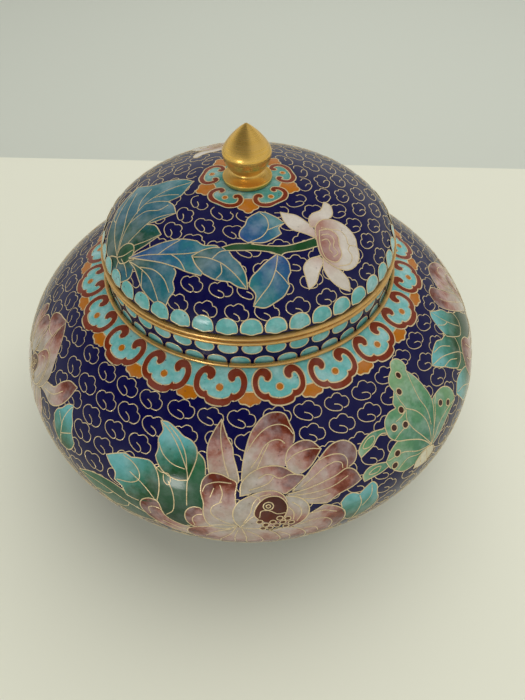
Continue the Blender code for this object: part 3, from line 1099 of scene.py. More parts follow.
PEONY_GROUP = [
    # Leaves behind the flower
    ("dark_leaf", (-14, 48), (-15, 28), [
        (-13, 25.5, TIP), (-11.2, 27.5), (-10.6, 31), (-10.8, 36), (-10.6, 41), (-12, 46), (-12, 50),
        (-17, 51.5), (-19.5, 48.5), (-21, 43.5), (-21, 37), (-21.5, 33), (-19, 31), (-16, 31), (-14, 29),
    ]),
    ("dark_leaf", (-20, 52), (-42, 47), [
        (-41, 48.5, TIP), (-37, 45), (-31.5, 43.8), (-27, 45), (-22, 47.5), (-19, 52), (-24, 56), (-31, 56),
        (-36.5, 53),
    ],
     [(-40, 48.5), (-34, 47.5), (-28, 49), (-21, 52)],
     [(-31, 48), (-33, 51), (-36, 52)],
     [(-27, 49.3), (-28, 52.5), (-31, 55)]),
    ("leaf", (-15.5, 37), (-20, 21.5), [
        (-23.4, 19.8, TIP), (-21.5, 19.6), (-19, 20.7), (-16.8, 22.2), (-14.8, 22.9), (-13.3, 24.6),
        (-12.9, 27), (-13.3, 30), (-14.2, 34, TIP), (-16.5, 34.5), (-19.5, 33.4), (-21.5, 31),
        (-22.2, 29.5, TIP), (-22, 27.5), (-22.6, 24.5), (-22.1, 22.2),
    ],
     [(-23.2, 20), (-20.5, 21.8), (-18, 24.7), (-15.8, 28.6), (-14.5, 32), (-14.2, 37), (-14, 42)],
     [(-21, 20.3), (-17.5, 23.4), (-15.5, 27), (-14.7, 31)],
     [(-22.3, 25.6), (-20.6, 28.4), (-18, 30.4), (-15.2, 31)]),
    ("leaf", (-20, 46), (-31, 34.5), [
        (-33.7, 35.6, TIP), (-31.5, 33.7), (-29.2, 32.3), (-27.6, 32.6, TIP), (-25.6, 31.8), (-23, 31.5),
        (-21.3, 33.4), (-20.4, 36), (-20.1, 39.5), (-20.4, 43.5, TIP), (-22.5, 44.9), (-25, 46),
        (-27.5, 45.8, TIP), (-28.8, 43), (-30.6, 42, TIP), (-30.6, 39.5), (-32.3, 37.6),
    ],
     [(-27.2, 36.9), (-24, 39), (-21.5, 42), (-20.3, 44.5), (-19.2, 47.5)],
     [(-29.6, 33), (-27, 33.8), (-25.2, 35.6), (-24.8, 38), (-26.3, 40), (-30, 41.5)],
     [(-23, 31.5), (-20, 33.6), (-18.6, 33.4), (-17.9, 35), (-18.3, 36.8), (-19.3, 35.8), (-19.6, 34)],
     [(-18.4, 35.5), (-17.2, 38.5), (-16.7, 42), (-17, 45.5), (-18.4, 48)]),
    ("leaf", (19, 60), (22.5, 42), [
        (17.3, 44.5, TIP), (18.6, 42.6), (20, 42.4), (21.6, 43.9, TIP), (23, 42.5), (24.8, 41.6),
        (25.8, 43.6), (25.8, 47), (26.2, 50), (25, 54), (22, 56.5), (19, 55), (18, 50),
    ],
     [(21.6, 44.5), (22, 48), (21.4, 52), (20.4, 56)],
     [(24.6, 42.5), (24.3, 46.5), (22.3, 50)]),
    # Outer petals, from the back of the flower to its front
    ("peony", (-9, 55), (-22.5, 45), [
        (-7.5, 52), (-8, 57), (-11, 58), (-16, 57.4), (-20, 55), (-23, 51.5), (-24.3, 48), (-23.8, 45),
        (-22, 43.2), (-20.2, 43.6), (-19.6, 45.4, TIP), (-19, 48), (-17, 50.5), (-13, 52),
    ],
     [(-22, 50), (-22.3, 47.3), (-21, 46), (-19.4, 46.6), (-18.9, 48.4)],
     [(-19.5, 52), (-16, 54), (-11, 55)]),
    ("peony", (-8, 50), (-14, 44), [
        (-9, 51), (-11.5, 51.5), (-13.7, 49.8), (-14.4, 47), (-14.2, 44.3), (-13, 42.3), (-11.2, 42.1),
        (-10.7, 43.8, TIP), (-10.4, 46), (-9, 48),
    ],
     [(-12.5, 50), (-12.9, 47), (-12, 45), (-10.8, 44.4)]),
    ("peony", (-4, 47), (-14, 59), [
        (-4.3, 48.4, TIP), (-9.5, 49.6), (-13.8, 52.6), (-14.2, 56.5), (-11.5, 60), (-8, 60.5), (-6, 57),
        (-5, 53),
    ],
     [(-5, 49.8), (-8.5, 52.5), (-10.5, 56.5)]),
    ("peony", (7, 48), (17.5, 56), [
        (13.8, 43.2, TIP), (16.3, 45.3), (18, 48.3), (18.4, 52.3), (17.4, 56.5), (14.8, 59.5), (11.4, 60),
        (9.3, 56.5), (8, 52.5), (7, 49.4, TIP), (9.4, 46.5),
    ],
     [(8.6, 49.6), (11.6, 48.6), (14.4, 49.8), (15.6, 53), (15.2, 57.5)],
     [(9.6, 52.2), (12, 53.5), (12.8, 57)],
     [(11, 45.4), (13.8, 45.6), (16.4, 47.8)]),
    ("peony", (3, 48), (8, 64), [
        (3, 51, TIP), (6, 50.2), (8.4, 52), (10, 56), (9.6, 61.5), (7, 64.5), (4, 63.5), (3.4, 59),
        (3.6, 55),
    ],
     [(4.4, 52.2), (6.6, 56), (6.8, 61)]),
    ("peony", (-3.4, 47), (-5, 66), [
        (-4.1, 48.6, TIP), (-5.3, 53), (-7.4, 58), (-7.4, 63), (-4.5, 65.5), (-1.8, 63.5), (-1.4, 58),
        (-2.2, 53), (-3.1, 48.8, TIP),
    ],
     [(-3.8, 50.5), (-4.5, 55), (-4.6, 61)]),
    ("peony", (-2.4, 47), (2.6, 67), [
        (-3.1, 48.6, TIP), (-0.8, 49), (2.4, 50.8), (4.4, 55), (4.6, 60.5), (2.4, 65.8), (-0.6, 65.5),
        (-2.2, 61), (-2.2, 55),
    ],
     [(-2, 50.5), (0.2, 54), (1.2, 58), (0.8, 63)]),
    ("peony", (-5.5, 33), (-8.4, 17.5), [
        (-8.2, 16, TIP), (-9.6, 19), (-10.8, 23.5), (-10.4, 28), (-9.3, 32), (-5, 33.5), (-3.6, 33),
        (-3.9, 29.5), (-4.8, 25.8), (-5.1, 23.4), (-6.6, 20.4),
    ],
     [(-8.2, 16.2), (-8.1, 20), (-7.4, 24.5), (-6.5, 28.5), (-5.6, 31.5)]),
    ("peony", (-0.8, 31), (7.6, 16.6), [
        (-3, 34, TIP), (-2.7, 28), (-2, 23.5), (-0.5, 18.8), (2.6, 15), (5.4, 14.2), (8, 15.1),
        (8.9, 18.1, TIP), (9.5, 20.6), (8.9, 23.2), (7.4, 25, TIP), (7.2, 28.5), (3, 30), (-0.5, 31.5),
    ],
     [(-1.8, 24.5), (-0.2, 21.6), (1.8, 19.2), (4, 17.9), (6.4, 17.7), (8.2, 18.7), (9.3, 20.8)],
     [(-1, 29), (0.8, 26), (2.2, 23.2), (4.2, 21.8), (6, 21.9), (7, 23)],
     [(3.2, 22.6), (1.6, 26), (0.2, 29.6)]),
    ("peony", (7.5, 33), (12.4, 24.2), [
        (6.6, 27.4, TIP), (7.4, 25), (9, 23.6), (11.2, 23), (13.2, 23.7), (15, 26.4, TIP), (13.6, 28.2),
        (12, 30.2), (9.6, 31.8), (7.5, 32),
    ],
     [(6.9, 28), (8.8, 26.4), (11, 25.7), (13, 25.7), (14.9, 26.4)]),
    ("peony", (8, 37), (22, 29), [
        (7.4, 36.6, TIP), (10, 33.6), (12.4, 30.6), (15, 28, TIP), (16.6, 26.6), (18.8, 25.8), (21, 26.3),
        (22.6, 28.4), (22.7, 30.8), (21.6, 33), (19.6, 33.9), (16.5, 35.2), (12, 36.6),
    ],
     [(14, 29.3), (15.8, 28.8), (17.8, 28.9), (19.6, 29.9), (20.2, 31.7), (19.7, 33.8)],
     [(9.4, 35.7), (12.4, 33.4), (15, 31.6), (17.4, 31), (18.8, 31.9), (18.8, 33.4)]),
    ("peony", (8, 39), (22.6, 37.4), [
        (6.2, 37.2, TIP), (9.5, 36.8), (14, 35.7), (17, 34.9), (19.7, 33.9), (21.3, 35.3),
        (22.4, 38.9, TIP), (20.2, 40.1), (17, 41), (14.3, 42.9, TIP), (12, 42), (8.4, 40.2),
    ],
     [(7.8, 37.9), (12, 38.2), (16, 37.8), (19.6, 36.2)],
     [(9.2, 39.4), (12, 40.2), (15.2, 40)]),
    ("peony", (9, 40.5), (6.4, 51), [
        (6, 37.6, TIP), (8.8, 38.9), (10.4, 41.6), (10.5, 44.8), (9.2, 48), (6.4, 50.6, TIP), (4.8, 47),
        (5, 42),
    ],
     [(7.2, 39.9), (8.7, 42), (9, 44.6), (8, 47.6)],
     [(6.4, 41.4), (7.4, 43.6), (7.3, 46.6)]),
    ("peony", (-4.6, 48), (-9.6, 30.6), [
        (-4.2, 36.4, TIP), (-4, 33), (-5.4, 32), (-7.5, 30.9), (-9.6, 31), (-11, 33), (-11.3, 36.4),
        (-10.6, 40), (-10.6, 44), (-9.4, 48.6), (-6.5, 50), (-3.8, 48.4, TIP), (-4, 42),
    ],
     [(-5, 33.3), (-8, 33.2), (-10.4, 34.6), (-10.9, 36.5)],
     [(-7.4, 34), (-6.8, 36.4), (-7.3, 39.4)],
     [(-8.6, 35), (-9.3, 38)],
     [(-4, 48), (-6.8, 46.2), (-9, 43.4), (-8.8, 41), (-6.8, 39)],
     [(-9.6, 49), (-7, 48), (-4.2, 48.2)]),
    ("peony", (0.5, 35.4), (7.4, 29.6), [
        (-3.2, 37, TIP), (-3, 33.4), (-1.4, 30.7), (1, 29), (3.4, 28.6), (6, 29.3), (8.5, 31.8, TIP),
        (10.2, 32.7), (8.4, 35), (6, 37, TIP), (3.5, 36), (0, 36),
    ],
     [(0.6, 31.9), (2.2, 30.9), (3.6, 31.2), (4.4, 32), (5.4, 32.3), (7, 31.6), (8.4, 31.8)],
     [(3.8, 31.6), (2.8, 33.2), (1.2, 34.2), (-1.4, 35.2)]),
    # Rolled heart of the flower
    ("peony", (-3.2, 43), (8.6, 38.4), [
        (-3.3, 48.8, TIP), (-4.5, 45.4), (-4.6, 42), (-3.6, 39), (-1.4, 37), (1, 35.8), (3.6, 35.7),
        (5.5, 37.3), (6.3, 40.3), (5.8, 44), (3.5, 48), (0, 49.5),
    ],
     [(-3.2, 48.4), (-1.4, 45), (0.4, 42.4), (0.9, 39.6), (0.5, 37.6), (-0.8, 36.8)]),
    ("heart", (0, 46), (5, 37), [
        (-0.4, 43.6), (0.2, 40), (2, 37.6), (4.6, 37.6), (6.1, 40.2), (5.9, 43.6), (4.4, 46.4), (2, 46.6),
    ],
     [(-2.6, 46.6), (-1.2, 42.6), (-0.6, 39.4), (0.6, 37.4), (3, 36.6)],
     [(0.6, 44.4), (1, 42), (2.6, 42), (4.2, 43.4), (5.8, 43.2)]),
]


def peony_group(picture):
    """The large peony with its leaves, seen on the front."""
    picture.draw(PEONY_GROUP)
    picture.spots("spot", 1.35, [(2.4, 40.4)])
    picture.spots("stamen", 0.6, [(2.4, 40.4)])
    picture.spots("stamen", 0.85, [
        (0.6, 46.2), (1.8, 47.7), (3.2, 46.6), (4.6, 45.2), (5.2, 47.2), (4.0, 48.6), (2.6, 49.6),
        (6.2, 45.8), (5.8, 49.2), (1.2, 49.4), (6.9, 47.8),
    ])


WINGS = [
    ("wing", (32, 29), (22, 32), [
        (31.3, 28.2, TIP), (27.5, 27.4), (24.8, 28.6), (23.2, 30.8), (23.4, 32.7, TIP), (24.8, 32),
        (27, 31), (28.6, 29.5), (30, 29.1), (31.6, 30, TIP),
    ],
     [(24.4, 30.4), (26, 28.6), (27.9, 28.5), (27.6, 29.9), (25.8, 30.9), (24.4, 30.4)]),
    ("wing", (30, 38.6), (22, 40), [
        (29.4, 38, TIP), (27, 36.8), (24.5, 36.6), (22.8, 38.3), (23, 40.3, TIP), (25, 40.1), (27.3, 40),
        (29.8, 39.2, TIP),
    ],
     [(24.2, 38.6), (25.8, 37.6), (27.4, 38), (26.4, 39.2), (24.2, 38.6)]),
    ("wing", (42, 43), (55, 34), [
        (46.6, 31.2, TIP), (48.8, 30.8), (51.6, 31.3), (53.6, 33.3), (54.5, 36.5), (54, 39.3, TIP),
        (51, 39.9), (47.5, 41.6), (44.5, 43.4), (41.5, 44.2, TIP), (42, 39), (44, 34),
    ],
     [(42, 43.6), (46, 39.5), (50, 38.4), (54, 39)],
     [(42.6, 41), (45.6, 36), (47.4, 32.4), (48.8, 31)]),
    ("wing", (42, 42), (29, 39), [
        (28.8, 37.7, TIP), (30.5, 35.3), (33, 33.8), (36, 34), (39, 37), (42, 43.6, TIP), (38.6, 44),
        (36, 45.2), (33, 44.8), (31.2, 42.9), (29.6, 40.4),
    ],
     [(42, 43.4), (37.8, 41.4), (33.6, 38), (29.4, 37.6)],
     [(41.4, 43.2), (37.6, 42.6), (34.4, 41), (31.4, 42.6)]),
    ("wing", (41.8, 42), (40, 16), [
        (31.3, 28.2, TIP), (32, 26.4), (34, 25), (36.3, 25.1, TIP), (36.2, 23.6), (37.2, 22.2),
        (38.4, 20.7, TIP), (38.2, 18.8), (39.4, 16.8), (41.6, 15.5, TIP), (42.4, 14.2), (43.9, 13.6),
        (45.5, 14.2), (46.4, 16), (46.2, 17.8), (45.3, 18.6, TIP), (46.3, 21.5), (46.9, 26), (46.8, 31),
        (45, 36), (42, 43.6, TIP), (39.4, 38.8), (36, 35.6), (33, 33.6), (31.4, 31.2),
    ],
     [(38.5, 20.9), (38.4, 24), (38.7, 27), (37.6, 29.8), (38, 33), (40, 38), (42, 43.2)],
     [(38.7, 27), (41, 29.8), (42.4, 34), (42.4, 39), (42, 43)],
     [(45.3, 18.8), (44.2, 23), (43.6, 27.5), (44, 32), (43.4, 37)],
     [(32.4, 33), (35, 31.8), (37.7, 31.6)],
     [(34.6, 28.4), (36.6, 28.2), (38.6, 27.4)]),
]

BUTTERFLY_BODY = [
    ("cream", None, None, [
        (35.8, 47, TIP), (36.6, 44.8), (38.6, 43.4), (41.2, 43.5), (42.8, 45), (42, 47.3), (39, 48.6),
    ],
     [(38, 44), (38.2, 48)],
     [(40.2, 43.6), (40.4, 48)],
     [(42.6, 45.4), (46, 49), (50, 50.8), (52, 49.8)],
     [(42, 47), (44.6, 51.4), (48.4, 53.8)]),
]


def butterfly(picture):
    """A butterfly with long tails, to the right of the peony."""
    picture.draw(WINGS)
    picture.spots("spot", 1.1, [
        (42.4, 18.1), (39.6, 21.9), (37.4, 26.5), (33.5, 29.6), (36.6, 30.9), (48.8, 34.4), (51.2, 37.0),
        (32.1, 37.1), (30.8, 40.4),
    ])
    picture.draw(BUTTERFLY_BODY)


LEFT_PEONY = [
    ("leaf", (-48.5, 52), (-47.5, 30), [
        (-47.3, 29.8, TIP), (-49, 31), (-50.2, 33.6, TIP), (-51.6, 35.5), (-52, 37.8, TIP), (-51, 40.4),
        (-50, 43), (-47.5, 45, TIP), (-45, 44.5), (-43.5, 42.4), (-43, 40, TIP), (-44.5, 37.4),
        (-45.2, 34.4, TIP), (-46.4, 32.4),
    ],
     [(-47.4, 30.4), (-48.4, 35), (-48.2, 40), (-47.6, 44.6)],
     [(-50.6, 35.2), (-48.4, 38)],
     [(-44.8, 37.8), (-48, 41)]),
    ("peony", (-57.5, 35.8), (-50.5, 25.6), [
        (-49.2, 25, TIP), (-52.6, 25.6), (-54.8, 28.5), (-56, 31.5), (-59.5, 33.4), (-62, 37.5, TIP),
        (-58.5, 36.6), (-54.5, 36.8), (-51.6, 34.2), (-49.8, 30),
    ],
     [(-59, 35.6), (-55, 33.4), (-52.6, 29.6)]),
    ("peony", (-64, 40), (-60, 52), [
        (-60.5, 38, TIP), (-58, 42), (-58.5, 48), (-61.5, 52), (-64.5, 50), (-65.5, 44), (-64, 39.6, TIP),
    ],
     [(-62.4, 40), (-61.4, 44), (-61.8, 48)]),
    ("peony", (-67, 40), (-69, 57), [
        (-64, 40, TIP), (-63.6, 46), (-64.8, 52), (-68.5, 56), (-72.5, 53.5), (-72.8, 47), (-70, 40.6, TIP),
    ],
     [(-67, 41.6), (-67.6, 46), (-68.6, 51)]),
    ("peony", (-72, 39), (-80, 52), [
        (-70, 39.4, TIP), (-72.6, 46), (-76, 51), (-80.4, 51.4), (-82, 46.5), (-79.4, 41), (-75, 37, TIP),
    ],
     [(-73, 41), (-76, 45), (-78.6, 48)]),
    ("peony", (-76.5, 37), (-83.6, 26), [
        (-84.6, 28.6), (-83.2, 26), (-81, 26.2), (-79, 29.6), (-76.4, 35), (-75, 38.6, TIP), (-79.6, 37),
        (-83, 33.4),
    ],
     [(-82, 28), (-79.8, 32), (-77, 36.4)]),
    ("peony", (-74, 34), (-79.2, 25.6), [
        (-79.7, 28.2), (-78.9, 26), (-76.9, 24.9), (-74.4, 25.2, TIP), (-73, 27.6), (-72, 31),
        (-71.5, 36, TIP), (-74.8, 37), (-77.8, 33.6), (-79.4, 30.8),
    ],
     [(-74.6, 25.6), (-74.3, 29), (-73.2, 33.4)]),
    ("peony", (-70.4, 31), (-75.6, 19.8), [
        (-69.9, 18.1), (-72.6, 18.8), (-75.2, 20), (-77, 22.3), (-75.8, 24.6), (-73.6, 25.4), (-72.4, 29),
        (-71, 34, TIP), (-68, 30), (-67, 24),
    ],
     [(-74.2, 25.3), (-71.6, 25.4), (-69.4, 24.4), (-69.9, 21.4)]),
    ("peony", (-63.5, 34), (-69.5, 18), [
        (-69.8, 18.2, TIP), (-67.2, 19.5), (-64.2, 22.2), (-61.4, 26.6), (-59.6, 31), (-60, 35.4),
        (-62, 39, TIP), (-66, 36), (-68.4, 30), (-69.4, 24),
    ],
     [(-69.6, 20.4), (-68.6, 24), (-67.2, 26.6)],
     [(-67.2, 27), (-65, 27.4), (-62.8, 29.6), (-61.8, 33.4), (-62, 38)]),
    ("peony", (-64, 36.5), (-70, 29.6), [
        (-71.4, 38.4, TIP), (-69.6, 34.4), (-68.6, 31), (-67.4, 28.6), (-65, 28), (-63, 30.4),
        (-62.2, 34.4), (-62.8, 38.4), (-65, 41), (-68.6, 41),
    ],
     [(-67, 31), (-65.6, 30.2), (-64.2, 32), (-63.8, 35.4), (-64.6, 38)]),
    ("heart", (-70, 39), (-68, 33), [
        (-71.4, 37.6), (-70.6, 34.6), (-68.2, 33.6), (-66.4, 35), (-66.6, 38), (-68.8, 39.6),
    ]),
]


def left_peony(picture):
    """The flower that turns away at the left, with its small leaf."""
    picture.draw(LEFT_PEONY)
    picture.spots("stamen", 0.72, [
        (-69.6, 36.6), (-68.2, 35.6), (-68.4, 37.4), (-67.2, 38.8), (-69.6, 38.4), (-66.2, 40),
    ])


RIGHT_PEONY = [
    ("dark_leaf", (76, 36), (62, 26), [
        (60, 24, TIP), (66, 23.5), (72, 24), (77, 28), (80, 33), (82, 38), (76, 42), (70, 38), (63, 37),
        (59.6, 32.5),
    ]),
    ("leaf", (68.5, 34), (55, 23), [
        (53.4, 24.3, TIP), (55.6, 22.6), (58, 21.9), (61, 21.8), (63, 23.4, TIP), (66, 24.6), (67.6, 28.4),
        (66.5, 31.6, TIP), (64, 34), (60.8, 34, TIP), (58.4, 31), (57, 28.8, TIP), (55.2, 26.8),
    ],
     [(53.8, 24.4), (58, 25.8), (62, 28.8), (65, 32), (66.6, 35.4)],
     [(57, 22.6), (60.8, 24), (63.6, 27.4)],
     [(56.8, 28.4), (60, 29.4), (62.6, 32)]),
    ("leaf", (73, 33), (69, 17), [
        (69.4, 16.4, TIP), (71.4, 18.8), (73.4, 21), (74, 23.6, TIP), (75.6, 26.4), (74.6, 29.8),
        (71, 31.4), (68, 28.6), (65.6, 25, TIP), (65.8, 22), (66.4, 19.6, TIP), (67.6, 17.4),
    ],
     [(69.4, 16.8), (69.8, 21), (71, 25.4), (73, 30)],
     [(66.6, 20.4), (68.6, 23), (70.4, 24)]),
    ("leaf", (68, 48), (56, 38), [
        (55.6, 38.6, TIP), (58, 36), (62, 36.4), (66, 40), (67, 45), (63.5, 49), (59, 46.5),
        (57, 42.4, TIP),
    ],
     [(56.4, 39), (60, 41), (64.8, 47)]),
    ("peony", (76, 43), (68.8, 32), [
        (64.6, 40), (65.2, 36.4), (67, 33.6), (69.2, 32.4), (71.6, 33.8), (73.4, 37), (78, 39.5),
        (82, 42, TIP), (78, 47), (72, 49.4), (67, 46.6),
    ],
     [(67, 37.6), (69.6, 42), (74.6, 44.6)],
     [(70, 35), (72, 39.6), (77.4, 42.4)]),
    ("peony", (84, 43), (78.4, 58), [
        (82, 42, TIP), (77, 47.6), (75.6, 53), (78, 57.4), (83, 57), (86.4, 52), (87, 45, TIP),
    ],
     [(83, 44.4), (80.8, 49), (79.8, 54)]),
    ("peony", (89, 43), (91, 60), [
        (87, 44, TIP), (86, 52), (87.4, 58), (91.4, 59.6), (95, 55.6), (94.6, 49), (91.6, 43.6, TIP),
    ],
     [(89, 45), (90, 50), (90.8, 55)]),
    ("peony", (94, 41), (104, 50), [
        (91.6, 43, TIP), (95.4, 48), (99.6, 51.6), (103.6, 49.8), (103.6, 44.6), (99.4, 40.8),
        (94, 38.8, TIP),
    ],
     [(94, 41.6), (97.4, 44.4), (101, 46.6)]),
    ("peony", (95, 37.6), (106, 33), [
        (93, 40, TIP), (99, 40.2), (104, 38.4), (106, 34), (103.4, 30.2), (99, 30.4), (95.4, 34, TIP),
    ],
     [(95.4, 37.4), (99.6, 36), (103, 34)]),
    ("peony", (84.6, 33), (77.6, 15.6), [
        (74.3, 20.4), (75.2, 17.4), (77.8, 15.6), (80.5, 16.7), (81.6, 20), (83.2, 25), (86, 31),
        (88.4, 37, TIP), (84, 37), (80, 32), (76.4, 26),
    ],
     [(77.6, 20), (78.4, 23), (81.4, 28.6), (85.4, 35)]),
    ("peony", (88.6, 32), (93, 18.6), [
        (82, 20.4, TIP), (84.4, 18.4), (87.6, 17.3), (91, 18), (94, 20.6), (96.6, 25.6), (97, 31),
        (94.8, 36, TIP), (88.8, 37.6, TIP), (86, 31), (83.4, 25),
    ],
     [(86.6, 19.4), (85.2, 23), (86, 28.6), (88, 34)],
     [(88, 24.6), (91, 22.6), (94, 24.6), (95.4, 29), (94.4, 34)]),
    ("peony", (91, 37), (87, 27.4), [
        (86.4, 38, TIP), (85.6, 33), (86.8, 28.6), (90, 26.4), (93.2, 28.6), (94.4, 33.6), (93.4, 39),
        (90, 43), (86.8, 42),
    ],
     [(88, 38.4), (87.8, 33.6), (89.8, 30), (92, 32.4), (92.4, 37)]),
    ("heart", (89, 41), (90, 35), [
        (87.6, 39.6), (88, 36.2), (90, 34.8), (91.8, 36.4), (91.6, 39.8), (89.6, 41.4),
    ]),
]


def right_peony(picture):
    """The flower that turns away at the right, with its leaves."""
    picture.draw(RIGHT_PEONY)
    picture.spots("stamen", 0.72, [
        (88.6, 38), (89.8, 37), (90.6, 38.6), (89.4, 39.6), (90.8, 40.6), (88.2, 40.6),
    ])


LID_BRANCH = [
    # Left leaves round the branching place
    ("lid_leaf", (-41, -22), (-30, 8), [
        (-16.3, 0.8, TIP), (-19, 3), (-24, 4.5), (-30, 4.8), (-36, 8, TIP), (-43, 0, TIP), (-46, -10, TIP),
        (-46, -18), (-41, -22), (-34, -23, TIP), (-30, -22), (-25.2, -19.8, TIP), (-27.4, -15.6),
        (-30.4, -14.2, TIP), (-26, -14), (-21, -12.8, TIP), (-22, -9), (-23.8, -6.8, TIP), (-20, -5.4),
        (-18, -2),
    ],
     [(-40.5, -21.5), (-38, -14), (-32, -5), (-25, -1), (-16.8, 0.7)],
     [(-40.5, -21.5), (-34, -17), (-28, -13), (-21.4, -12.7)],
     [(-40.8, -21.5), (-42, -14), (-42, -6), (-39, 2), (-36, 7.6)],
     [(-40.5, -21.8), (-35, -20.6), (-30, -20.6), (-25.4, -19.8)],
     [(-34, -8), (-33, -2), (-30, 2.6)],
     [(-40.6, -20), (-38.4, -12), (-37.6, -4), (-35.4, 3.6)],
     [(-36.6, -11), (-31, -8.4), (-26.4, -9.6), (-23.6, -8.4)],
     [(-28.4, -2.8), (-24.4, -3.4), (-20.6, -4.6)],
     [(-42, -7), (-43.4, -4.6), (-42.4, -1)],
     [(-31.6, -4.6), (-27, -5.4), (-23.8, -6.8)]),
    ("lid_leaf", (-39, -22), (-43, -30), [
        (-40, -22, TIP), (-45, -19), (-46.6, -22), (-44.4, -26.6, TIP), (-41, -29.6), (-36, -30.2),
        (-34, -27, TIP), (-36, -24),
    ],
     [(-40, -22.4), (-42, -25), (-44, -26.4)]),
    ("dark_leaf", (-41, -22), (-30, -20), [
        (-41, -21.4, TIP), (-39.6, -24.2), (-36.6, -25), (-34.4, -23.4), (-34.2, -20.6), (-36.4, -18.8),
        (-39.4, -19.2),
    ],
     [(-40.6, -21.6), (-38, -22.4), (-34.4, -22)],
     [(-39, -23), (-37.6, -26.4), (-37.4, -29.6)]),
    ("lid_leaf", (-36, -24), (-25, -42), [
        (-36, -25, TIP), (-34, -28.4), (-33, -32), (-32.2, -35, TIP), (-30.4, -38), (-27, -42.2, TIP),
        (-24.8, -41.6), (-23.4, -40, TIP), (-21.6, -38.4), (-21.8, -35.8, TIP), (-20.8, -33), (-24, -29.6),
        (-29, -26.4),
    ],
     [(-35.4, -25.6), (-31.6, -29.4), (-29, -33), (-27.6, -37.6), (-27, -41.8)],
     [(-32, -28.6), (-27.4, -31), (-24.4, -34.6), (-23.2, -38.6)],
     [(-31.4, -30), (-32, -33), (-32.4, -34.8)]),
    ("lid_blue", (-37, -24), (-8, -36), [
        (-36, -24, TIP), (-30, -23.6), (-25, -22.9), (-19, -23.1), (-14.6, -24.6, TIP), (-12.6, -26.4),
        (-9, -27), (-7.6, -29, TIP), (-11, -32), (-13.6, -35.6, TIP), (-17.6, -33.8), (-20.4, -32, TIP),
        (-25, -29.4), (-31, -26.6),
    ],
     [(-36, -24.4), (-30, -25.4), (-24, -27), (-18, -28.2), (-12, -28.4), (-7.8, -28.8)],
     [(-26, -26.4), (-22.4, -24.6), (-19.4, -23.3)],
     [(-22, -27.5), (-19.6, -30), (-18, -33.4)]),
    ("lid_leaf", (-22, -28), (0, -42), [
        (-16, -29.3, TIP), (-12.4, -27.8), (-8.6, -27.6), (-6, -28.8), (-4.6, -31, TIP), (-2.8, -33),
        (-1.2, -36.4), (-0.8, -40.4, TIP), (-3.2, -39.8), (-5.6, -38.2, TIP), (-9.6, -37.2),
        (-12.8, -35.2, TIP), (-15, -32),
    ],
     [(-16, -29.6), (-12, -30.4), (-8, -32.4), (-4.6, -35.6), (-1.2, -40)],
     [(-10.4, -31), (-8, -29), (-6, -28.8)],
     [(-8, -32.4), (-7.8, -35.4), (-9.4, -37)]),
    # Stem with a leaf on either side
    ("stem", (-6, -28), (18, -25), [
        (-7.6, -27.6, TIP), (-4, -26.8), (0, -27), (5, -27.6), (10, -27.4), (14.4, -25.8),
        (18.4, -23.8, TIP), (19.4, -26.4, TIP), (15, -28.4), (9.6, -29.8), (8.4, -31, TIP), (6.8, -29.9),
        (2, -29.2), (-3, -29), (-6.4, -28.8, TIP),
    ]),
    ("lid_blue", (-2.5, -25), (11, -18), [
        (-0.6, -26.5, TIP), (-2.6, -24.6), (-2.5, -22.6), (-1, -20.4, TIP), (-0.2, -18), (3, -15.5, TIP),
        (5, -15.9), (6.8, -16.9, TIP), (8.2, -17.8), (10, -19.6, TIP), (8.4, -21.4), (9, -23.4, TIP),
        (7, -25), (4, -26.6),
    ],
     [(0.2, -26.4), (3.6, -24.6), (5.4, -21.4), (5, -18), (3.2, -15.9)],
     [(5, -22.4), (7.6, -21), (9.8, -19.7)]),
    ("lid_blue", (10.5, -31), (-1, -42), [
        (7.5, -30.2, TIP), (4.2, -33), (2.4, -35, TIP), (0.2, -37.4), (-0.4, -39.6, TIP), (1.4, -42),
        (0.7, -45, TIP), (4, -45.4), (7.4, -43.6, TIP), (9.4, -42), (10.8, -39.4, TIP), (10.4, -37.4),
        (11.2, -35.4, TIP), (10.6, -32.4), (9.2, -30.8),
    ],
     [(7.7, -30.6), (7, -35), (5.4, -39), (2.8, -42.4), (0.9, -44.8)],
     [(7, -35), (9, -37), (10.6, -39)]),
]


def lid_spray(picture):
    """A leafy branch with one magnolia, across the front of the lid."""
    picture.draw(LID_BRANCH)
    magnolia(picture)


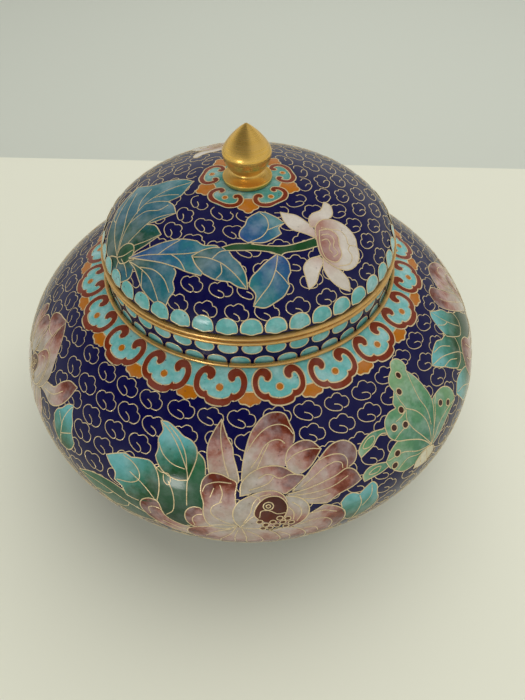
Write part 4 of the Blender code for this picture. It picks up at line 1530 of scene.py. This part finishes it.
MAGNOLIA = [
    ("magnolia", (20.5, -25), (11, -17), [
        (9, -15.4, TIP), (11, -15.8), (13.4, -16.2), (16, -18), (18.4, -20.6), (19.4, -24, TIP),
        (15.4, -22.6), (12, -21.6), (10, -19),
    ]),
    ("magnolia", (19, -23), (23, -11), [
        (17.4, -20, TIP), (17.2, -17), (18.4, -14.8), (21, -12.8), (22.4, -9, TIP), (24, -9.6),
        (24.7, -12.2), (24.2, -14.6), (22, -17), (19.4, -20, TIP),
    ]),
    ("magnolia", (20.6, -27), (16.2, -36), [
        (19.6, -29.6, TIP), (16.6, -31), (14.9, -33.6), (15.4, -36.4), (16.4, -39.8, TIP), (18.4, -37.8),
        (19.4, -34.6), (20.8, -31, TIP),
    ]),
    ("magnolia", (21, -27), (27, -36), [
        (20.6, -29.4, TIP), (20.8, -33.4), (22.6, -36), (26, -37.8), (29.6, -38, TIP), (28.8, -35.2),
        (26.6, -33.2), (23.4, -31.6),
    ]),
    ("magnolia", (21, -26), (30, -26), [
        (19, -24), (19, -19.6), (21.4, -16.6), (25, -16), (28.8, -17.6), (31.2, -20.8), (31.6, -23.6, TIP),
        (32.2, -26.4), (31.2, -29.8), (28.2, -32.2), (25, -32.4, TIP), (22.4, -31.4), (20, -29),
    ],
     [(20.6, -19.8), (23.4, -19.8), (26.4, -19.6), (28.2, -21.4), (28.8, -23.8), (31.5, -23.6)],
     [(25.4, -31.6), (29, -30), (29.8, -27.4), (28.6, -25.6), (29.2, -24)]),
    ("magnolia_heart", (20, -26), (28, -24), [
        (20, -21, TIP), (23, -20), (25.4, -21.6), (25.8, -25, TIP), (26.4, -28), (24.6, -30.6), (21.6, -30),
        (20, -26),
    ],
     [(20.4, -22.6), (22.8, -21.8), (24.2, -23.4), (24, -25.8), (25.2, -27.6), (23.8, -29.2)],
     [(20.4, -24.4), (22.2, -23.6), (23, -25), (22.6, -26.8), (23.6, -28)]),
]


def magnolia(picture):
    """One open blossom with four loose petals."""
    picture.draw(MAGNOLIA)


def lid_rosette():
    """Five cloud-collar heads round the finial, with ochre lobes between them."""
    half_band = [
        (0, 14.9), (-3.1, 14.5), (-5.3, 12.7), (-5.7, 10.6), (-4.6, 8.7), (-2.9, 8.0), (-1.7, 8.9),
        (-2.0, 10.1), (-3.0, 10.2),
    ]
    half_inner = [(-3.2, 9.6), (-3.9, 10.3), (-4.0, 11.7), (-2.6, 12.9), (0, 13.3)]
    lobe = [(-2.4, 10.6), (-3.1, 12.9), (-2.7, 14.3), (-1.4, 15.0), (-0.9, 15.8), (0, 16.1)]
    dot_way, dot_radius, disc_radius, reach = 11.3, 0.85, 10.6, 16
    silhouette = half_band[:6] + [(-1.6, 7.6)]
    silhouette = silhouette + mirrored(silhouette)[:-1]
    left = half_band[1:] + half_inner
    band = [(0, 14.6)] + left + mirrored(left)[1:]
    lobe = lobe + mirrored(lobe)[1:]
    silhouette, band, lobe = ([(x, -y) for x, y in line] for line in (silhouette, band, lobe))
    rosette = CollarBorder(lid, 3, WIRE_WIDTH)
    rosette.ground.fill(round_outline((0, 0), disc_radius, 1.0, 48), 1)
    heads = []
    pitch = 360 / ROSETTE_HEADS
    for index in range(ROSETTE_HEADS):
        turn = pitch * (index + 0.5)
        head = drawn(turned_about(silhouette, turn), True, LOBE_STEP)
        heads.append(np.array(head))
        curl = drawn(turned_about(band, turn), True, FINE_STEP)
        rosette.head(head, curl, round_outline(turned_about([(0, -dot_way)], turn)[0], dot_radius, 1.0, 10))
    for index in range(ROSETTE_HEADS):
        rosette.lobe(drawn(turned_about(lobe, pitch * (index + 1)), True, LOBE_STEP), heads)
    rosette.pieces("rosette", DEEP_TURQUOISE)
    return [np.array(drawn([seen_from_above(180 - 18 * step, reach) for step in range(20)], True, 2.0))]


# Cloud ground

# The open wire of one cloud, from its inner curl to its end
CLOUD = [
    (-0.9, 0.3, TIP), (0.6, 0.9), (1.2, 1.9), (0.6, 2.6), (-0.9, 2.4), (-2.8, 1.5), (-3.8, 0.0), (-3.3, -1.5),
    (-1.9, -2.1), (-1.2, -1.8, TIP), (0.3, -2.7), (1.9, -2.2), (2.3, -1.2, TIP), (3.5, -0.8), (3.9, 0.7),
    (3.0, 2.0), (1.5, 2.2),
]


def cloud(right, down, size, tilt, stretch):
    """One cloud wire about a place of the chart."""
    cos, sin = math.cos(tilt), math.sin(tilt)
    points = []
    for x, y, *mark in CLOUD:
        across = (x * cos - y * sin) * size / stretch
        points.append((right + across, down + (x * sin + y * cos) * size, *mark))
    return drawn(points, False, 0.75, stretch)


def body_clouds(covered):
    """Rows of clouds round the body, cut where a flower or leaf covers them."""
    chance = random.Random(7)
    upper, lower = Drawing(bowl), Drawing(bowl)
    for row in range(BODY_ROWS):
        way = BODY_FIRST_ROW + row * BODY_ROW_PITCH
        stretch = float(bowl.stretch(way))
        count = round(360 * stretch / BODY_CLOUD_SPACING)
        sheet = upper if way < UNDERSIDE_WAY else lower
        for index in range(count):
            turn = -120 + 360 / count * (index + 0.5 * (row % 2) + chance.uniform(-0.06, 0.06))
            line = cloud(
                turn, way + chance.uniform(-0.4, 0.4), chance.uniform(0.94, 1.04), chance.uniform(-0.1, 0.1),
                stretch,
            )
            for run in runs_outside(line, covered):
                sheet.wire(run, 0, width=CLOUD_WIDTH)
    upper.piece("cloud_wire_shoulder", CELL_WIRE)
    lower.piece("cloud_wire_underside", CELL_WIRE)


def lid_clouds(covered):
    """Rings of clouds on the lid, cut where a flower, a leaf or a border covers them."""
    chance = random.Random(11)
    sheet = Drawing(lid)
    for row in range(LID_ROWS):
        way = LID_FIRST_ROW + row * LID_ROW_PITCH
        radius = float(lid.radius_at(way))
        count = round(math.tau * radius / LID_CLOUD_SPACING)
        for index in range(count):
            turn = 360 / count * (index + 0.5 * (row % 2) + chance.uniform(-0.06, 0.06))
            line = cloud(0, way, chance.uniform(0.86, 0.94), chance.uniform(-0.12, 0.12), 1.0)
            line = turned_about([(x, -y) for x, y in line], turn)
            for run in runs_outside(line, covered):
                sheet.wire(run, 0, width=CLOUD_WIDTH)
    sheet.piece("cloud_wire_lid", CELL_WIRE)


# Stage


TABLE_COLOUR = (224, 224, 208)
GROUND_COLOUR = (206, 210, 200)
TABLE_BACK = 0.2
TABLE_SLANT = -0.08
TABLE_REACH = 2.5
GROUND_LEVEL = -0.1
WARM_WHITE = (1.0, 0.995, 0.96)

# The room's light by direction
HORIZON_LIGHT = (0.62, 0.63, 0.58, 1.0)
BACK_LIGHT = (0.22, 0.22, 0.20, 1.0)
FRONT_LEFT_LIGHT = (0.04, 0.04, 0.04, 1.0)
FRONT_RIGHT_LIGHT = (0.5, 0.5, 0.47, 1.0)

# The photograph's camera, solved from the rims and the outline: metres, millimetres and radians
EYE = (0.0, -0.14166, 0.19507)
EYE_YAW = 0.0303
EYE_PITCH = 0.861
EYE_ROLL = 0.0038
SENSOR_HEIGHT = 36.0
LENS = 27.05


def flat_stage(name, corners, shade):
    """A flat painted part of the stage."""
    mesh = bpy.data.meshes.new(name)
    form = bmesh.new()
    form.faces.new([form.verts.new(corner) for corner in corners])
    form.to_mesh(mesh)
    form.free()
    thing = bpy.data.objects.new(name, mesh)
    bpy.context.scene.collection.objects.link(thing)
    paint = bpy.data.materials.new(name + "_paint")
    paint.use_nodes = True
    shader = paint.node_tree.nodes["Principled BSDF"]
    shader.inputs["Base Color"].default_value = shade
    shader.inputs["Roughness"].default_value = 0.5
    mesh.materials.append(paint)


def stage():
    """A pale table top that ends behind the jar, and the ground beyond it."""
    reach = TABLE_REACH
    left, right = TABLE_BACK - TABLE_SLANT * reach, TABLE_BACK + TABLE_SLANT * reach
    table = [(-reach, -reach, 0), (reach, -reach, 0), (reach, right, 0), (-reach, left, 0)]
    flat_stage("table_top", table, colour(*TABLE_COLOUR))
    level, far = GROUND_LEVEL, reach * 1.6
    ground = [(-far, -far, level), (far, -far, level), (far, far, level), (-far, far, level)]
    flat_stage("ground", ground, colour(*GROUND_COLOUR))
    bpy.context.scene.view_settings.view_transform = "Standard"


def lamp(name, place, target, size, power, tint, mirrored_in_gloss=True):
    """A rectangular lamp, which the glossy enamel mirrors unless told not to."""
    light = bpy.data.lights.new(name, "AREA")
    light.shape = "RECTANGLE"
    light.size, light.size_y = size
    light.energy = power
    light.color = tint
    thing = bpy.data.objects.new(name, light)
    thing.location = place
    thing.rotation_euler = (Vector(target) - Vector(place)).to_track_quat("-Z", "Y").to_euler()
    thing.visible_glossy = mirrored_in_gloss
    bpy.context.scene.collection.objects.link(thing)


def lights():
    """A small window, a large ceiling, a fill from the front and a room that is darker overhead."""
    lamp("window", (-0.66, -1.08, 0.20), (0, 0, 0.06), (0.14, 0.24), 2.2, (1.0, 0.99, 0.97))
    lamp("ceiling", (0.3, 0.5, 1.4), (0, 0, 0.03), (2.0, 2.0), 21, WARM_WHITE, False)
    lamp("fill", (-0.3, -0.9, 1.1), (0, 0, 0.03), (1.2, 1.2), 5.2, WARM_WHITE, False)
    world = bpy.context.scene.world or bpy.data.worlds.new("room")
    bpy.context.scene.world = world
    world.use_nodes = True
    tree = world.node_tree
    towards = add_node(tree, "ShaderNodeSeparateXYZ")
    tree.links.new(add_node(tree, "ShaderNodeTexCoord").outputs["Generated"], towards.inputs[0])
    overhead = spread(tree, towards.outputs["Z"], 0.2, 0.62)
    back = spread(tree, towards.outputs["Y"], -0.1, 0.5)
    right = spread(tree, towards.outputs["X"], 0.05, 0.5)
    front = blend_colours(tree, right, FRONT_LEFT_LIGHT, FRONT_RIGHT_LIGHT)
    above = blend_colours(tree, back, front, BACK_LIGHT)
    tint = blend_colours(tree, overhead, HORIZON_LIGHT, above)
    background = tree.nodes["Background"]
    tree.links.new(tint, background.inputs["Color"])
    background.inputs["Strength"].default_value = 1.0


def camera():
    """The photograph's view: a phone held above the front of the jar."""
    view = bpy.data.cameras.new("camera")
    view.sensor_fit = "VERTICAL"
    view.sensor_height = SENSOR_HEIGHT
    view.lens = LENS
    view.clip_start = 0.01
    eye = bpy.data.objects.new("camera", view)
    eye.location = EYE
    level = math.cos(EYE_PITCH)
    ahead = Vector((math.sin(EYE_YAW) * level, math.cos(EYE_YAW) * level, -math.sin(EYE_PITCH)))
    eye.rotation_mode = "QUATERNION"
    facing = ahead.to_track_quat("-Z", "Y")
    facing.rotate(Quaternion(ahead, EYE_ROLL))
    eye.rotation_quaternion = facing
    bpy.context.scene.collection.objects.link(eye)
    bpy.context.scene.camera = eye


camera()
stage()
lights()
jar_skin()
lid_skin()
metal_rims()
shoulder_wire()
finial()
ruyi_border()
lid_edge_beads, foot_beads = bead_rows()
covered_body, covered_lid = foot_beads, lid_rosette() + lid_edge_beads
pictures = [
    ("front_peony", peony_group, 0), ("front_butterfly", butterfly, 0), ("left_peony", left_peony, 0),
    ("right_peony", right_peony, 0), ("back_peony", peony_group, 180), ("back_butterfly", butterfly, 180),
]
for name, motif, turn in pictures:
    picture = Picture(bowl, lambda points, turn=turn: moved(points, turn, 0), PICTURE_STRETCH)
    motif(picture)
    covered_body += picture.pieces(name)
for name, motif, turn in (("front_spray", lid_spray, 0), ("back_blossom", magnolia, 155)):
    picture = Picture(lid, lambda points, turn=turn: turned_about(points, turn), 1.0)
    motif(picture)
    covered_lid += picture.pieces(name)
body_clouds(covered_body)
lid_clouds(covered_lid)
